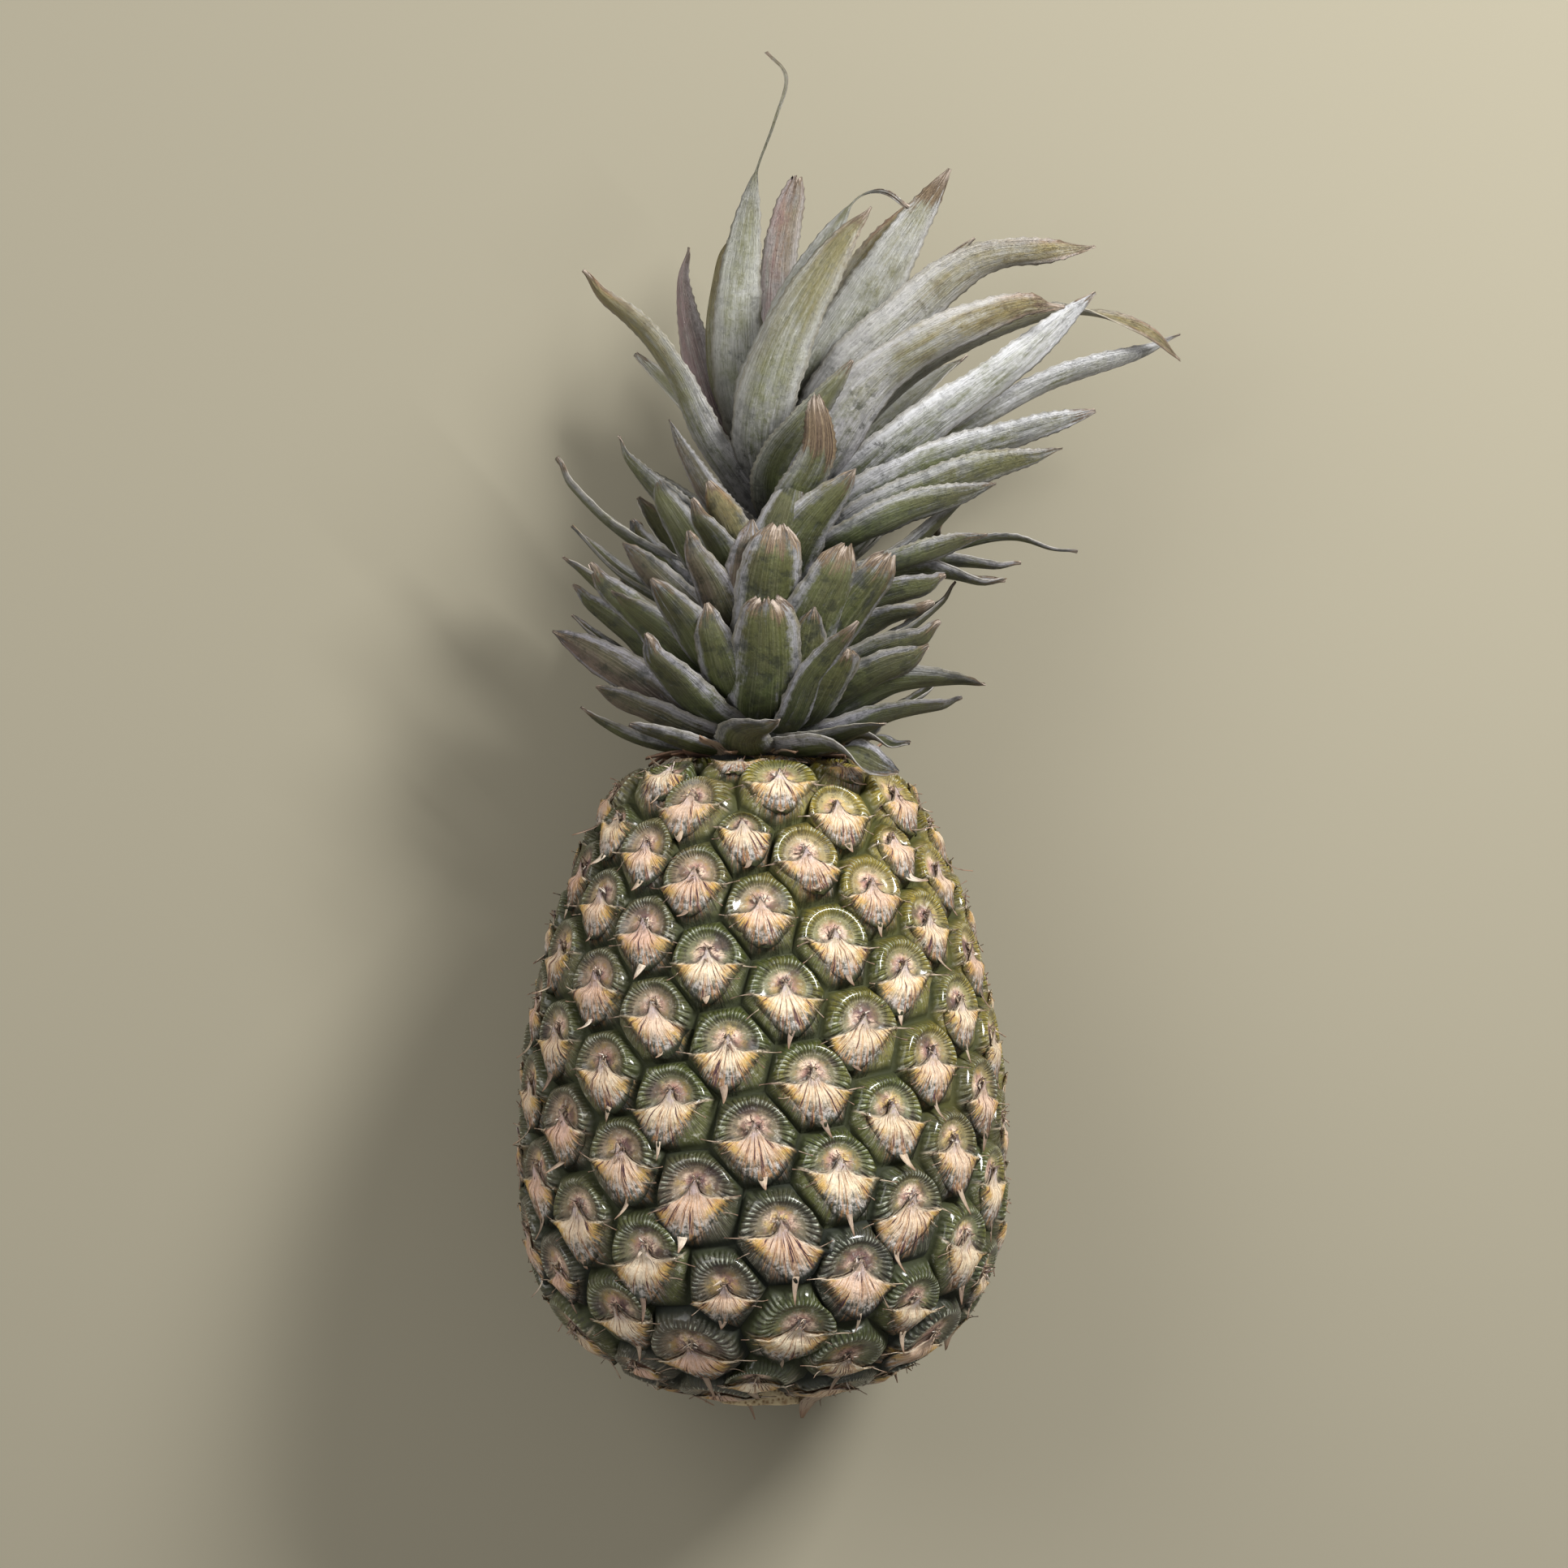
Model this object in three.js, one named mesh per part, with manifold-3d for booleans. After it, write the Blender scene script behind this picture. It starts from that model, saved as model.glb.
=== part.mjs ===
// A pineapple lying on its side, as picked: the fruit with its rows of eyes, the cut stalk below it,
// and the leafy crown above it. Millimetres, +Z up, +Y from the stalk to the crown, +X to the right
// when the fruit is seen from above with its crown at the top. The origin is on the surface that the
// fruit lies on, inside the flat spot that it rests on.
import * as THREE from "three";
import { ConvexHull } from "three/addons/math/ConvexHull.js";
import { mergeVertices } from "three/addons/utils/BufferGeometryUtils.js";
import Module from "manifold-3d";

const wasm = await Module();
wasm.setup();

// The fruit. Heights are measured along its own axis from the stalk's end.
const FRUIT_LENGTH = 161;
const FRUIT_RADIUS = 61; // at its widest, without the eyes' relief
const WIDEST_HEIGHT = 58;
const BOTTOM_ROUNDNESS = 2.6;
const BOTTOM_FULLNESS = 2.2;
const SHOULDER_TAPER = 0.45; // share of the radius lost towards the crown
const SHOULDER_CURVE = 2.3;
const TOP_FLATNESS = 50;
const FRUIT_TILT = THREE.MathUtils.degToRad(3.5); // the crown's end is lower
const REST_HEIGHT = 82.5; // height on the axis over the origin
const AXIS_OVER_SURFACE = 59.9; // there; the eyes under the fruit are pressed flat by about 1.8
const GAP = 0.3; // clear space between neighbouring pieces

// The eyes follow one another by nearly the golden angle: 8 rows one way and 13 the other.
const EYE_TURN = THREE.MathUtils.degToRad(-137.4315);
const FIRST_EYE_ARC = 7.45;
const FIRST_EYE_TURN = THREE.MathUtils.degToRad(239.1);
const EYE_AREA = 460;
const TOP_EYE_AREA = 271;
const EYE_RISE = 1.022; // from one eye to the next above the widest height
const LAST_EYE_MARGIN = 5;

// Relief of an eye over the fruit's outline.
const GROOVE_DEPTH = 2.2;
const RIM_HEIGHT = 1.7;
const BRACT_EDGE_HEIGHT = 0.9;
const BRACT_HEIGHT = 1.9;
const DIMPLE_HEIGHT = 0.5;
const BRACT_TIP_HEIGHT = 3.6;
const BRACT_TIP_LEAN = 1;
const RIM_REACH = 0.74; // shares of the way from an eye's middle to its groove
const DIMPLE_REACH = 0.3;
const CELL_DROP = 0.31; // how far the grooves lie below the middles' own cells, as a share of a cell

// The cut stalk, let into the fruit's lower end.
const STALK_RADIUS = 11;
const STALK_SUNK = 5;
const STALK_OUT = 2.5;
const STALK_CHAMFER = 1;
const STALK_SIDES = 24;

// The crown's stem, in the crown's own frame: x to the right, y towards the crown's top and z up.
const STEM_TOP = new THREE.Vector3(7, 72, -3);
const STEM_OUTLINE = [[0, 0], [20, 0], [20, 14], [16, 36], [9, 60], [0, 72]]; // radius, height
const STEM_SIDES = 12;

// The leaves.
const LEAF_THICKNESS = 1.1;
const EDGE_THINNING = 0.35; // share of the thickness lost at a blade's edges
const LEAF_TIP = 0.55; // half the width of a blade's very tip
const ROOT_WIDTH = 0.7; // share of a blade's full width at its root
const FULL_WIDTH_AT = 0.45; // share of the length where the blade is widest
const TAPER = 2.6; // higher for a blade that keeps its width nearer to its tip
const BLUNT_TAPER = 4;
const ROOT_BEND = 58; // half the angle that a blade's section bends through, in degrees
const TIP_BEND = 30;
const LARGE_SECTION = [-1, -0.4, 0.4, 1]; // points across a blade, from edge to edge
const SHORT_SECTION = [-1, 0, 1];
const RINGS_PER_POINT = 2; // along a large blade
const SHORT_RINGS = 4;

function fruitRadius(height) {
  if (height < WIDEST_HEIGHT) {
    const drop = (WIDEST_HEIGHT - height) / WIDEST_HEIGHT;
    return FRUIT_RADIUS * Math.max(0, 1 - drop ** BOTTOM_ROUNDNESS) ** (1 / BOTTOM_FULLNESS);
  }
  const rise = (height - WIDEST_HEIGHT) / (FRUIT_LENGTH - WIDEST_HEIGHT);
  const taper = 1 - SHOULDER_TAPER * rise ** SHOULDER_CURVE;
  return FRUIT_RADIUS * taper * Math.sqrt(Math.max(0, 1 - rise ** TOP_FLATNESS));
}

// The fruit's outline as samples of arc length from the stalk's end, height and radius.
const OUTLINE_STEPS = 600;
const outline = [{ arc: 0, height: 0, radius: 0 }];
for (let i = 1; i <= OUTLINE_STEPS; i++) {
  const height = (FRUIT_LENGTH * (1 - Math.cos((Math.PI * i) / OUTLINE_STEPS))) / 2;
  const radius = fruitRadius(height);
  const last = outline[i - 1];
  const arc = last.arc + Math.hypot(height - last.height, radius - last.radius);
  outline.push({ arc, height, radius });
}
const OUTLINE_ARC = outline[OUTLINE_STEPS].arc;

function outlineAt(arc) {
  const after = Math.max(1, outline.findIndex((sample) => sample.arc >= arc));
  const [low, high] = [outline[after - 1], outline[after]];
  const share = (arc - low.arc) / (high.arc - low.arc);
  return {
    height: low.height + share * (high.height - low.height),
    radius: low.radius + share * (high.radius - low.radius),
    slope: Math.atan2(high.radius - low.radius, high.height - low.height),
  };
}

// A point over the fruit's skin, in the frame of the standing fruit: z along its axis.
function onSkin(turn, arc, over) {
  const { height, radius, slope } = outlineAt(arc);
  const out = radius + over * Math.cos(slope);
  return new THREE.Vector3(
    out * Math.sin(turn),
    -out * Math.cos(turn),
    height - over * Math.sin(slope),
  );
}

// The middles of the eyes, as turn round the axis and arc length from the stalk's end.
function eyeMiddles() {
  const eyes = [];
  let arc = FIRST_EYE_ARC;
  while (arc < OUTLINE_ARC - LAST_EYE_MARGIN) {
    eyes.push({ turn: FIRST_EYE_TURN + EYE_TURN * eyes.length, arc });
    const { height, radius } = outlineAt(arc);
    const around = 2 * Math.PI * radius;
    arc += height < WIDEST_HEIGHT ? EYE_AREA / around : Math.max(EYE_RISE, TOP_EYE_AREA / around);
  }
  return eyes;
}

// Triples of neighbouring eyes: the faces of the hull of the eyes spread over a sphere.
function neighbourTriples(eyes) {
  const points = eyes.map(({ turn, arc }, index) => {
    const polar = (Math.PI * arc) / OUTLINE_ARC;
    const point = new THREE.Vector3(
      Math.sin(polar) * Math.sin(turn),
      -Math.sin(polar) * Math.cos(turn),
      -Math.cos(polar),
    );
    point.index = index;
    return point;
  });
  return new ConvexHull().setFromPoints(points).faces.map((face) => {
    const triple = [];
    let edge = face.edge;
    do {
      triple.push(edge.head().point.index);
      edge = edge.next;
    } while (edge !== face.edge);
    return triple;
  });
}

// The fruit, larger on every side by grow. Each eye is a cell between the grooves: a raised rim
// round its upper part, a dimple inside, and a bract over its lower part that ends in a raised tip.
function fruitSolid(grow = 0) {
  const eyes = eyeMiddles();
  const triples = neighbourTriples(eyes);
  const vertices = [];
  const faces = [];
  const addVertex = (point) => vertices.push(point) - 1;
  const middles = eyes.map(({ turn, arc }) => onSkin(turn, arc, grow));
  const upAt = ({ turn, arc }) =>
    onSkin(turn, arc + 0.5, grow).sub(onSkin(turn, arc - 0.5, grow));
  const corners = triples.map((triple) => {
    const middle = new THREE.Vector3();
    triple.forEach((index) => middle.addScaledVector(middles[index], 1 / 3));
    const drop = CELL_DROP * middle.distanceTo(middles[triple[0]]);
    triple.forEach((index) => middle.addScaledVector(upAt(eyes[index]), -drop / 3));
    const radius = Math.hypot(middle.x, middle.y);
    const inward = (radius - GROOVE_DEPTH) / radius;
    return addVertex(new THREE.Vector3(middle.x * inward, middle.y * inward, middle.z));
  });
  eyes.forEach(({ turn, arc }, eye) => {
    const middle = middles[eye];
    const out = onSkin(turn, arc, 1 + grow).sub(middle);
    const up = onSkin(turn, Math.min(arc + 1, OUTLINE_ARC), grow).sub(middle).normalize();
    const right = new THREE.Vector3().crossVectors(up, out);
    const around = triples
      .map((triple, index) => ({ triple, vertex: corners[index] }))
      .filter(({ triple }) => triple.includes(eye))
      .map(({ vertex }) => {
        const reach = vertices[vertex].clone().sub(middle);
        return { vertex, reach, angle: Math.atan2(reach.dot(up), reach.dot(right)) };
      })
      .sort((a, b) => a.angle - b.angle);
    const ringOf = (share, lowHeight, highHeight) =>
      around.map(({ reach, angle }) => {
        const over = THREE.MathUtils.lerp(lowHeight, highHeight, 0.5 + 0.5 * Math.sin(angle));
        const at = middle.clone().addScaledVector(reach, share);
        return addVertex(at.addScaledVector(out, over + GROOVE_DEPTH * share * share));
      });
    const rim = ringOf(RIM_REACH, BRACT_EDGE_HEIGHT, RIM_HEIGHT);
    const dimple = ringOf(DIMPLE_REACH, BRACT_HEIGHT, DIMPLE_HEIGHT);
    const tip = middle.clone().addScaledVector(out, BRACT_TIP_HEIGHT);
    const tipVertex = addVertex(tip.addScaledVector(up, BRACT_TIP_LEAN));
    around.forEach(({ vertex }, k) => {
      const next = (k + 1) % around.length;
      const nextVertex = around[next].vertex;
      faces.push([vertex, nextVertex, rim[next]], [vertex, rim[next], rim[k]]);
      faces.push([rim[k], rim[next], dimple[next]], [rim[k], dimple[next], dimple[k]]);
      faces.push([dimple[k], dimple[next], tipVertex]);
    });
  });
  return solidOf(geometryOf(vertices, faces).applyMatrix4(lying));
}

// From the standing fruit's frame to the lying one.
const lying = new THREE.Matrix4()
  .makeTranslation(0, 0, AXIS_OVER_SURFACE)
  .multiply(new THREE.Matrix4().makeRotationX(-(Math.PI / 2 + FRUIT_TILT)))
  .multiply(new THREE.Matrix4().makeTranslation(0, 0, -REST_HEIGHT));

// The crown's own frame has its origin at the fruit's top, with axes along the part's.
const crownBase = new THREE.Vector3(0, 0, FRUIT_LENGTH).applyMatrix4(lying);

// A leaf: its name, the height of its root on the stem as a share, its width, the way that its back
// looks in degrees from the top of the lying fruit towards +X, and the points that its rib passes.
const leaf = (name, root, width, face, ...rib) => ({ name, root, width, face, rib, taper: TAPER });
const blunt = (blade) => ({ ...blade, taper: BLUNT_TAPER });

// The large leaves. Each keeps clear of those before it in the list.
const LARGE_LEAVES = [
  leaf("leaf_front_tall", 0.86, 17, -12, [-1, 84, 18], [5, 107, 24], [16, 127, 27], [27, 143, 26]),
  leaf("leaf_front_small", 0.8, 13, 20, [4, 76, 20], [12, 88, 29], [23, 102, 33]),
  leaf("leaf_front_dry_tip", 0.7, 13, 12, [8, 66, 28], [14, 78, 36], [14, 92, 41]),
  leaf("leaf_front_tall_behind", 0.9, 15, -20, [-2, 92, 11], [6, 115, 15], [18, 137, 17],
    [25, 146, 16], [32, 148, 14], [38, 146, 11]),
  leaf("leaf_right_arching", 0.84, 17, 22, [14, 75, 20], [29, 97, 27], [49, 110, 29],
    [67, 117, 26], [77, 117, 22]),
  leaf("leaf_right_hooked", 0.92, 16, 20, [18, 94, 12], [37, 114, 17], [54, 128, 18],
    [73, 132, 15], [86, 134, 10]),
  leaf("leaf_right_tall", 0.96, 18, 10, [14, 97, 6], [26, 118, 7], [38, 138, 8], [48, 154, 8]),
  leaf("leaf_right_silver", 0.8, 16, 30, [25, 72, 13], [45, 88, 17], [65, 103, 16], [85, 122, 11]),
  leaf("leaf_right_wide", 0.7, 15, 28, [25, 66, 13], [47, 78, 13], [68, 86, 9], [86, 92, 4]),
  leaf("leaf_right_lower", 0.64, 14, 30, [24, 61, 18], [44, 71, 18], [60, 77, 14], [78, 81, 8]),
  leaf("leaf_right_green", 0.6, 14, 34, [22, 57, 23], [38, 65, 23], [60, 72, 16]),
  leaf("leaf_right_low_green", 0.52, 12, 38, [22, 47, 20], [39, 53, 21], [57, 60, 15]),
  leaf("leaf_left_tendril", 0.95, 15, -10, [-5, 92, 5], [-7, 114, 6], [-5, 135, 7], [-2, 152, 8],
    [3, 166, 9], [6, 178, 9], [1, 184, 8]),
  leaf("leaf_left_edge", 0.92, 10, -60, [-11, 94, -1], [-14, 112, -1], [-12, 128, 0], [-9, 140, 1]),
  leaf("leaf_left_purple", 0.88, 14, -42, [-12, 88, -3], [-18, 106, -6], [-21, 122, -8],
    [-21, 136, -9]),
  leaf("leaf_left_orange_tip", 0.78, 12, -40, [-15, 84, 8], [-23, 101, 11], [-32, 113, 12],
    [-48, 126, 10]),
  leaf("leaf_left_short", 0.7, 12, -36, [-12, 66, 18], [-18, 76, 22], [-24, 88, 23]),
  leaf("leaf_left_spreading", 0.6, 13, -46, [-17, 60, 10], [-27, 70, 10], [-39, 84, 8]),
  leaf("leaf_back_pink", 0.97, 12, 0, [4, 100, -5], [4, 129, -8], [6, 142, -9], [9, 154, -9]),
  leaf("leaf_right_red_edge", 0.96, 14, 10, [15, 104, -4], [25, 128, -7], [38, 147, -8]),
  leaf("leaf_right_yellow_edge", 0.94, 13, 25, [19, 98, -2], [36, 119, 0], [55, 137, 0]),
  leaf("leaf_right_long", 0.88, 10, 30, [24, 88, 4], [48, 107, 7], [76, 117, 7], [99, 113, 1],
    [109, 106, -6]),
  leaf("leaf_right_white", 0.74, 12, 36, [28, 75, 1], [56, 90, 0], [78, 101, -2], [110, 111, -8]),
  leaf("leaf_right_pale_tip", 0.48, 9, 50, [24, 48, 6], [48, 56, 4], [65, 59, 1], [81, 54, -5]),
];

// The short leaves in front, which are one piece with the stem.
const SHORT_LEAVES = [
  leaf("front_broad", 0.14, 20, 0, [0, 14, 27], [1, 27, 38], [1, 41, 46]),
  leaf("front_left", 0.28, 17.5, -34, [-12, 24, 26], [-20, 36, 32], [-28, 47, 36]),
  leaf("front_left_low", 0.1, 16.5, -34, [-15, 13, 21], [-23, 22, 28], [-31, 31, 33]),
  leaf("front_left_high", 0.4, 15.5, -26, [-9, 36, 26], [-14, 47, 32], [-20, 58, 35]),
  leaf("front_left_curled", 0.62, 13, -30, [-8, 50, 20], [-13, 58, 25], [-19, 66, 29]),
  leaf("front_tan", 0.68, 13, -18, [-6, 56, 22], [-10, 64, 26], [-14, 72, 28]),
  leaf("front_middle", 0.5, 15.5, -6, [-3, 38, 28], [-4, 50, 36], [-3, 61, 40]),
  leaf("front_ragged", 0.4, 18.5, 4, [1, 31, 30], [2, 46, 39], [4, 59, 44]),
  leaf("front_right_dry", 0.3, 18.5, 18, [9, 26, 28], [15, 40, 37], [22, 54, 42]),
  leaf("front_right_tip", 0.32, 17.5, 32, [14, 27, 25], [23, 39, 32], [33, 52, 37]),
  leaf("front_right_high", 0.56, 16.5, 22, [6, 50, 24], [13, 62, 30], [24, 74, 34]),
  leaf("right_low_green", 0.2, 16.5, 36, [17, 19, 18], [29, 27, 25], [46, 34, 28]),
  leaf("right_pink_tip", 0.3, 13, 38, [18, 29, 15], [31, 37, 19], [44, 40, 21]),
  leaf("right_long_green", 0.1, 15.5, 40, [19, 13, 15], [33, 20, 18], [57, 22, 12]),
  leaf("right_grey", 0.06, 13, 44, [20, 8, 11], [34, 13, 11], [52, 16, 6]),
  leaf("right_curled_edge", 0.12, 9, 10, [7, 10, 26], [13, 23, 38], [24, 36, 46]),
  leaf("right_cut", 0.12, 17.5, 28, [11, 12, 25], [16, 20, 34], [21, 29, 41]),
  leaf("collar_right", 0.03, 16.5, 40, [15, 5, 22], [23, 8, 31], [31, 11, 38]),
  leaf("collar_right_curved", 0.03, 12, 44, [20, 6, 13], [29, 7, 18], [36, 3, 19]),
  leaf("collar_shoulder", 0.02, 15.5, 24, [10, 3, 24], [20, 4, 33], [34, -2, 31]),
  leaf("collar_front", 0.02, 16.5, -12, [-5, 4, 24], [-4, 8, 33], [4, 10, 40]),
  leaf("collar_left", 0.03, 15.5, -50, [-17, 4, 17], [-25, 7, 22], [-34, 10, 23]),
  leaf("left_low", 0.1, 15.5, -34, [-20, 12, 11], [-36, 23, 12], [-54, 35, 7]),
  leaf("left_curled", 0.18, 12, -28, [-18, 20, 15], [-30, 36, 19], [-46, 51, 16]),
  leaf("left_thin", 0.16, 13, -38, [-20, 20, 7], [-35, 34, 8], [-50, 46, 5]),
  leaf("left_upper", 0.4, 15.5, -40, [-17, 38, 4], [-27, 51, 3], [-36, 63, 1]),
  leaf("right_blunt", 0.4, 13, 38, [21, 42, 10], [42, 49, 7], [62, 46, 2]),
  leaf("right_grey_high", 0.48, 13, 44, [22, 46, 2], [44, 52, 1], [67, 51, -3]),
  leaf("left_wide", 0.22, 16, -36, [-16, 24, 18], [-27, 35, 22], [-39, 44, 22]),
  leaf("left_broad", 0.34, 16, -36, [-15, 34, 14], [-26, 46, 17], [-36, 57, 15]),
  leaf("left_high_grey", 0.5, 15, -34, [-12, 46, 12], [-21, 60, 15], [-29, 74, 13]),
  leaf("left_collar_low", 0.06, 15, -30, [-18, 8, 14], [-31, 14, 17], [-43, 20, 15]),
  leaf("right_wide_low", 0.16, 17, 30, [17, 16, 20], [29, 23, 26], [43, 29, 26]),
  leaf("right_grey_low", 0.36, 15, 34, [18, 36, 15], [32, 43, 18], [48, 47, 14]),
  leaf("front_low_left", 0.18, 17, -20, [-8, 19, 27], [-12, 30, 35], [-15, 40, 38]),
  leaf("front_low_right", 0.2, 17, 12, [7, 18, 28], [11, 29, 36], [13, 40, 40]),
  leaf("front_upper_grey", 0.6, 15, 4, [2, 50, 26], [5, 62, 31], [9, 74, 32]),
];

// Shares of the length: a dry thread at the end of some blades, and where others are broken off.
const TAILS = { leaf_left_tendril: 0.27, leaf_front_tall_behind: 0.16 };
const BROKEN_AT = {
  leaf_front_dry_tip: 0.9,
  front_broad: 0.9,
  front_ragged: 0.86,
  front_right_dry: 0.88,
  front_right_tip: 0.9,
  right_cut: 0.8,
  right_blunt: 0.84,
};

// Short leaves round the sides and the back, which follow one another up the stem by the golden
// angle. Those below are held off the surface that the fruit lies on.
const SIDE_LEAF_COUNT = 39;
const SIDE_LEAF_TURN = 137.508;
const SIDE_LEAF_WIDTH = 15;
const SIDE_LEAF_RISE = 46; // from the lowest root to the highest
const FRONT_SECTOR = 74; // degrees each side of the top, where the leaves above stand
const SURFACE_CLEARANCE = 2.5;
function sideLeaves() {
  const leaves = [];
  for (let i = 0; i < SIDE_LEAF_COUNT; i++) {
    const face = ((i * SIDE_LEAF_TURN + 540) % 360) - 180;
    if (Math.abs(face) < FRONT_SECTOR) continue;
    const share = i / SIDE_LEAF_COUNT;
    const turn = THREE.MathUtils.degToRad(face);
    const hang = 0.5 * SIDE_LEAF_WIDTH * Math.abs(Math.sin(turn));
    const lowest = SURFACE_CLEARANCE + hang - crownBase.z;
    const point = (out, rise) => [
      out * Math.sin(turn),
      SIDE_LEAF_RISE * share + rise,
      Math.max(out * Math.cos(turn), lowest),
    ];
    const rib = [
      point(22, 1 + 8 * share),
      point(35 + 5 * share, 4 + 17 * share),
      point(47 + 9 * share, 11 + 27 * share),
    ];
    leaves.push(leaf("side_" + i, 0.02 + 0.6 * share, SIDE_LEAF_WIDTH, face, ...rib));
  }
  return leaves;
}

// Long leaves at the back, in two fans. side runs from -1 to 1 across a fan.
const BACK_FANS = [
  { name: "upper", count: 5, root: 0.8, rise: 62, drop: 13, length: 62, spread: 44, width: 15 },
  { name: "lower", count: 4, root: 0.58, rise: 44, drop: 20, length: 50, spread: 46, width: 14 },
];
function backLeaves() {
  return BACK_FANS.flatMap(({ name, count, root, rise, drop, length, spread, width }) =>
    Array.from({ length: count }, (_, i) => {
      const side = (2 * i) / (count - 1) - 1;
      const rib = [
        [6 + 10 * side, rise + 6, -drop],
        [8 + 0.55 * spread * side, rise + 0.45 * length, -drop - 13],
        [10 + spread * side, rise + length * (1 - 0.22 * side * side), -drop - 20],
      ];
      const title = "leaf_back_" + name + "_" + (i + 1);
      return leaf(title, root, width, 180 - 34 * side, ...rib);
    }),
  );
}

// The stem's middle line, rising a little to the right.
const stemLine = new THREE.LineCurve3(new THREE.Vector3(), STEM_TOP);

// Half the width of a blade at a share of its length, and half the angle of its section.
function bladeAt(share, { name, width, taper }) {
  const along = Math.min(1, (share * (BROKEN_AT[name] ?? 1)) / (1 - (TAILS[name] ?? 0)));
  const opening = Math.sin(0.5 * Math.PI * Math.min(1, along / FULL_WIDTH_AT));
  const body = THREE.MathUtils.lerp(ROOT_WIDTH, 1, opening);
  const half = 0.5 * width * body * Math.max(0, 1 - along ** taper) ** 0.75;
  const bend = THREE.MathUtils.lerp(ROOT_BEND, TIP_BEND, along);
  return { half: Math.max(half, LEAF_TIP), bend: THREE.MathUtils.degToRad(bend) };
}

// One blade: an arched strip along its rib, thinner at its edges, larger on every side by grow.
function leafSolid(blade, section, rings, grow = 0) {
  const { root, face, rib } = blade;
  const curve = new THREE.CatmullRomCurve3(
    [stemLine.getPoint(root), ...rib.map((point) => new THREE.Vector3(...point))],
    false,
    "centripetal",
  );
  const turn = THREE.MathUtils.degToRad(face);
  const away = new THREE.Vector3(Math.sin(turn), 0, Math.cos(turn));
  const across = new THREE.Vector3().crossVectors(stemLine.getTangent(root), away).normalize();
  const vertices = [];
  const faces = [];
  const ringSize = 2 * section.length;
  for (let ring = 0; ring <= rings; ring++) {
    const share = ring / rings;
    const middle = curve.getPointAt(share);
    const along = curve.getTangentAt(share);
    const back = new THREE.Vector3().crossVectors(across, along).normalize();
    const side = new THREE.Vector3().crossVectors(along, back);
    const { half, bend } = bladeAt(share, blade);
    const round = (half + grow) / Math.sin(bend);
    const addPoint = (u, over) => {
      const radius = round + over;
      const point = middle.clone().addScaledVector(side, radius * Math.sin(u * bend));
      vertices.push(point.addScaledVector(back, radius * Math.cos(u * bend) - round));
    };
    const thick = (u) => 0.5 * LEAF_THICKNESS * (1 - EDGE_THINNING * u * u) + grow;
    section.forEach((u) => addPoint(u, thick(u)));
    [...section].reverse().forEach((u) => addPoint(u, -thick(u)));
    if (ring === 0) continue;
    const [low, high] = [(ring - 1) * ringSize, ring * ringSize];
    for (let k = 0; k < ringSize; k++) {
      const next = (k + 1) % ringSize;
      faces.push([low + k, low + next, high + next], [low + k, high + next, high + k]);
    }
  }
  const end = rings * ringSize;
  for (let k = 0; k < section.length - 1; k++) {
    const [far, farNext] = [ringSize - 1 - k, ringSize - 2 - k];
    faces.push([k, far, farNext], [k, farNext, k + 1]);
    faces.push([end + k, end + farNext, end + far], [end + k, end + k + 1, end + farNext]);
  }
  return solidOf(geometryOf(vertices, faces));
}

// The crown's stem, turned along its middle line, larger on every side by grow.
function stemSolid(grow = 0) {
  const points = STEM_OUTLINE.map(([radius, height]) => {
    const end = radius === 0;
    return new THREE.Vector2(end ? 0 : radius + grow, height + (end && height > 0 ? grow : 0));
  });
  const geometry = new THREE.LatheGeometry(points, STEM_SIDES);
  const upright = new THREE.Vector3(0, 1, 0);
  const lean = new THREE.Quaternion().setFromUnitVectors(upright, STEM_TOP.clone().normalize());
  return solidOf(geometry.applyQuaternion(lean));
}

// The cut end of the stalk, from its face outside to its end inside the fruit.
function stalkSolid(grow = 0) {
  const radius = STALK_RADIUS + grow;
  const geometry = new THREE.LatheGeometry(
    [
      new THREE.Vector2(0, -STALK_OUT - grow),
      new THREE.Vector2(radius - STALK_CHAMFER, -STALK_OUT - grow),
      new THREE.Vector2(radius, STALK_CHAMFER - STALK_OUT - grow),
      new THREE.Vector2(radius, STALK_SUNK + grow),
      new THREE.Vector2(0, STALK_SUNK + grow),
    ],
    STALK_SIDES,
  );
  return solidOf(geometry.rotateX(0.5 * Math.PI).applyMatrix4(lying));
}

function geometryOf(vertices, faces) {
  const geometry = new THREE.BufferGeometry();
  geometry.setAttribute(
    "position",
    new THREE.Float32BufferAttribute(vertices.flatMap((v) => [v.x, v.y, v.z]), 3),
  );
  geometry.setIndex(faces.flat());
  return geometry;
}

// A closed geometry as a solid that can be joined and cut, and back.
function solidOf(geometry) {
  const bare = geometry.clone();
  bare.deleteAttribute("normal");
  bare.deleteAttribute("uv");
  const merged = mergeVertices(bare, 1e-4);
  return new wasm.Manifold(
    new wasm.Mesh({
      numProp: 3,
      vertProperties: new Float32Array(merged.attributes.position.array),
      triVerts: new Uint32Array(merged.index.array),
    }),
  );
}

function geometryFrom(solid) {
  const mesh = solid.getMesh();
  const geometry = new THREE.BufferGeometry();
  geometry.setAttribute("position", new THREE.BufferAttribute(mesh.vertProperties, 3));
  geometry.setIndex(new THREE.BufferAttribute(mesh.triVerts, 1));
  geometry.computeVertexNormals();
  return geometry;
}

// The largest of the bodies that a cut leaves.
function largestBody(solid) {
  return solid.decompose().reduce((best, body) => (body.volume() > best.volume() ? body : best));
}

// The parts.
const part = new THREE.Group();
const crown = new THREE.Group();
crown.position.copy(crownBase);
part.add(crown);

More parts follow.
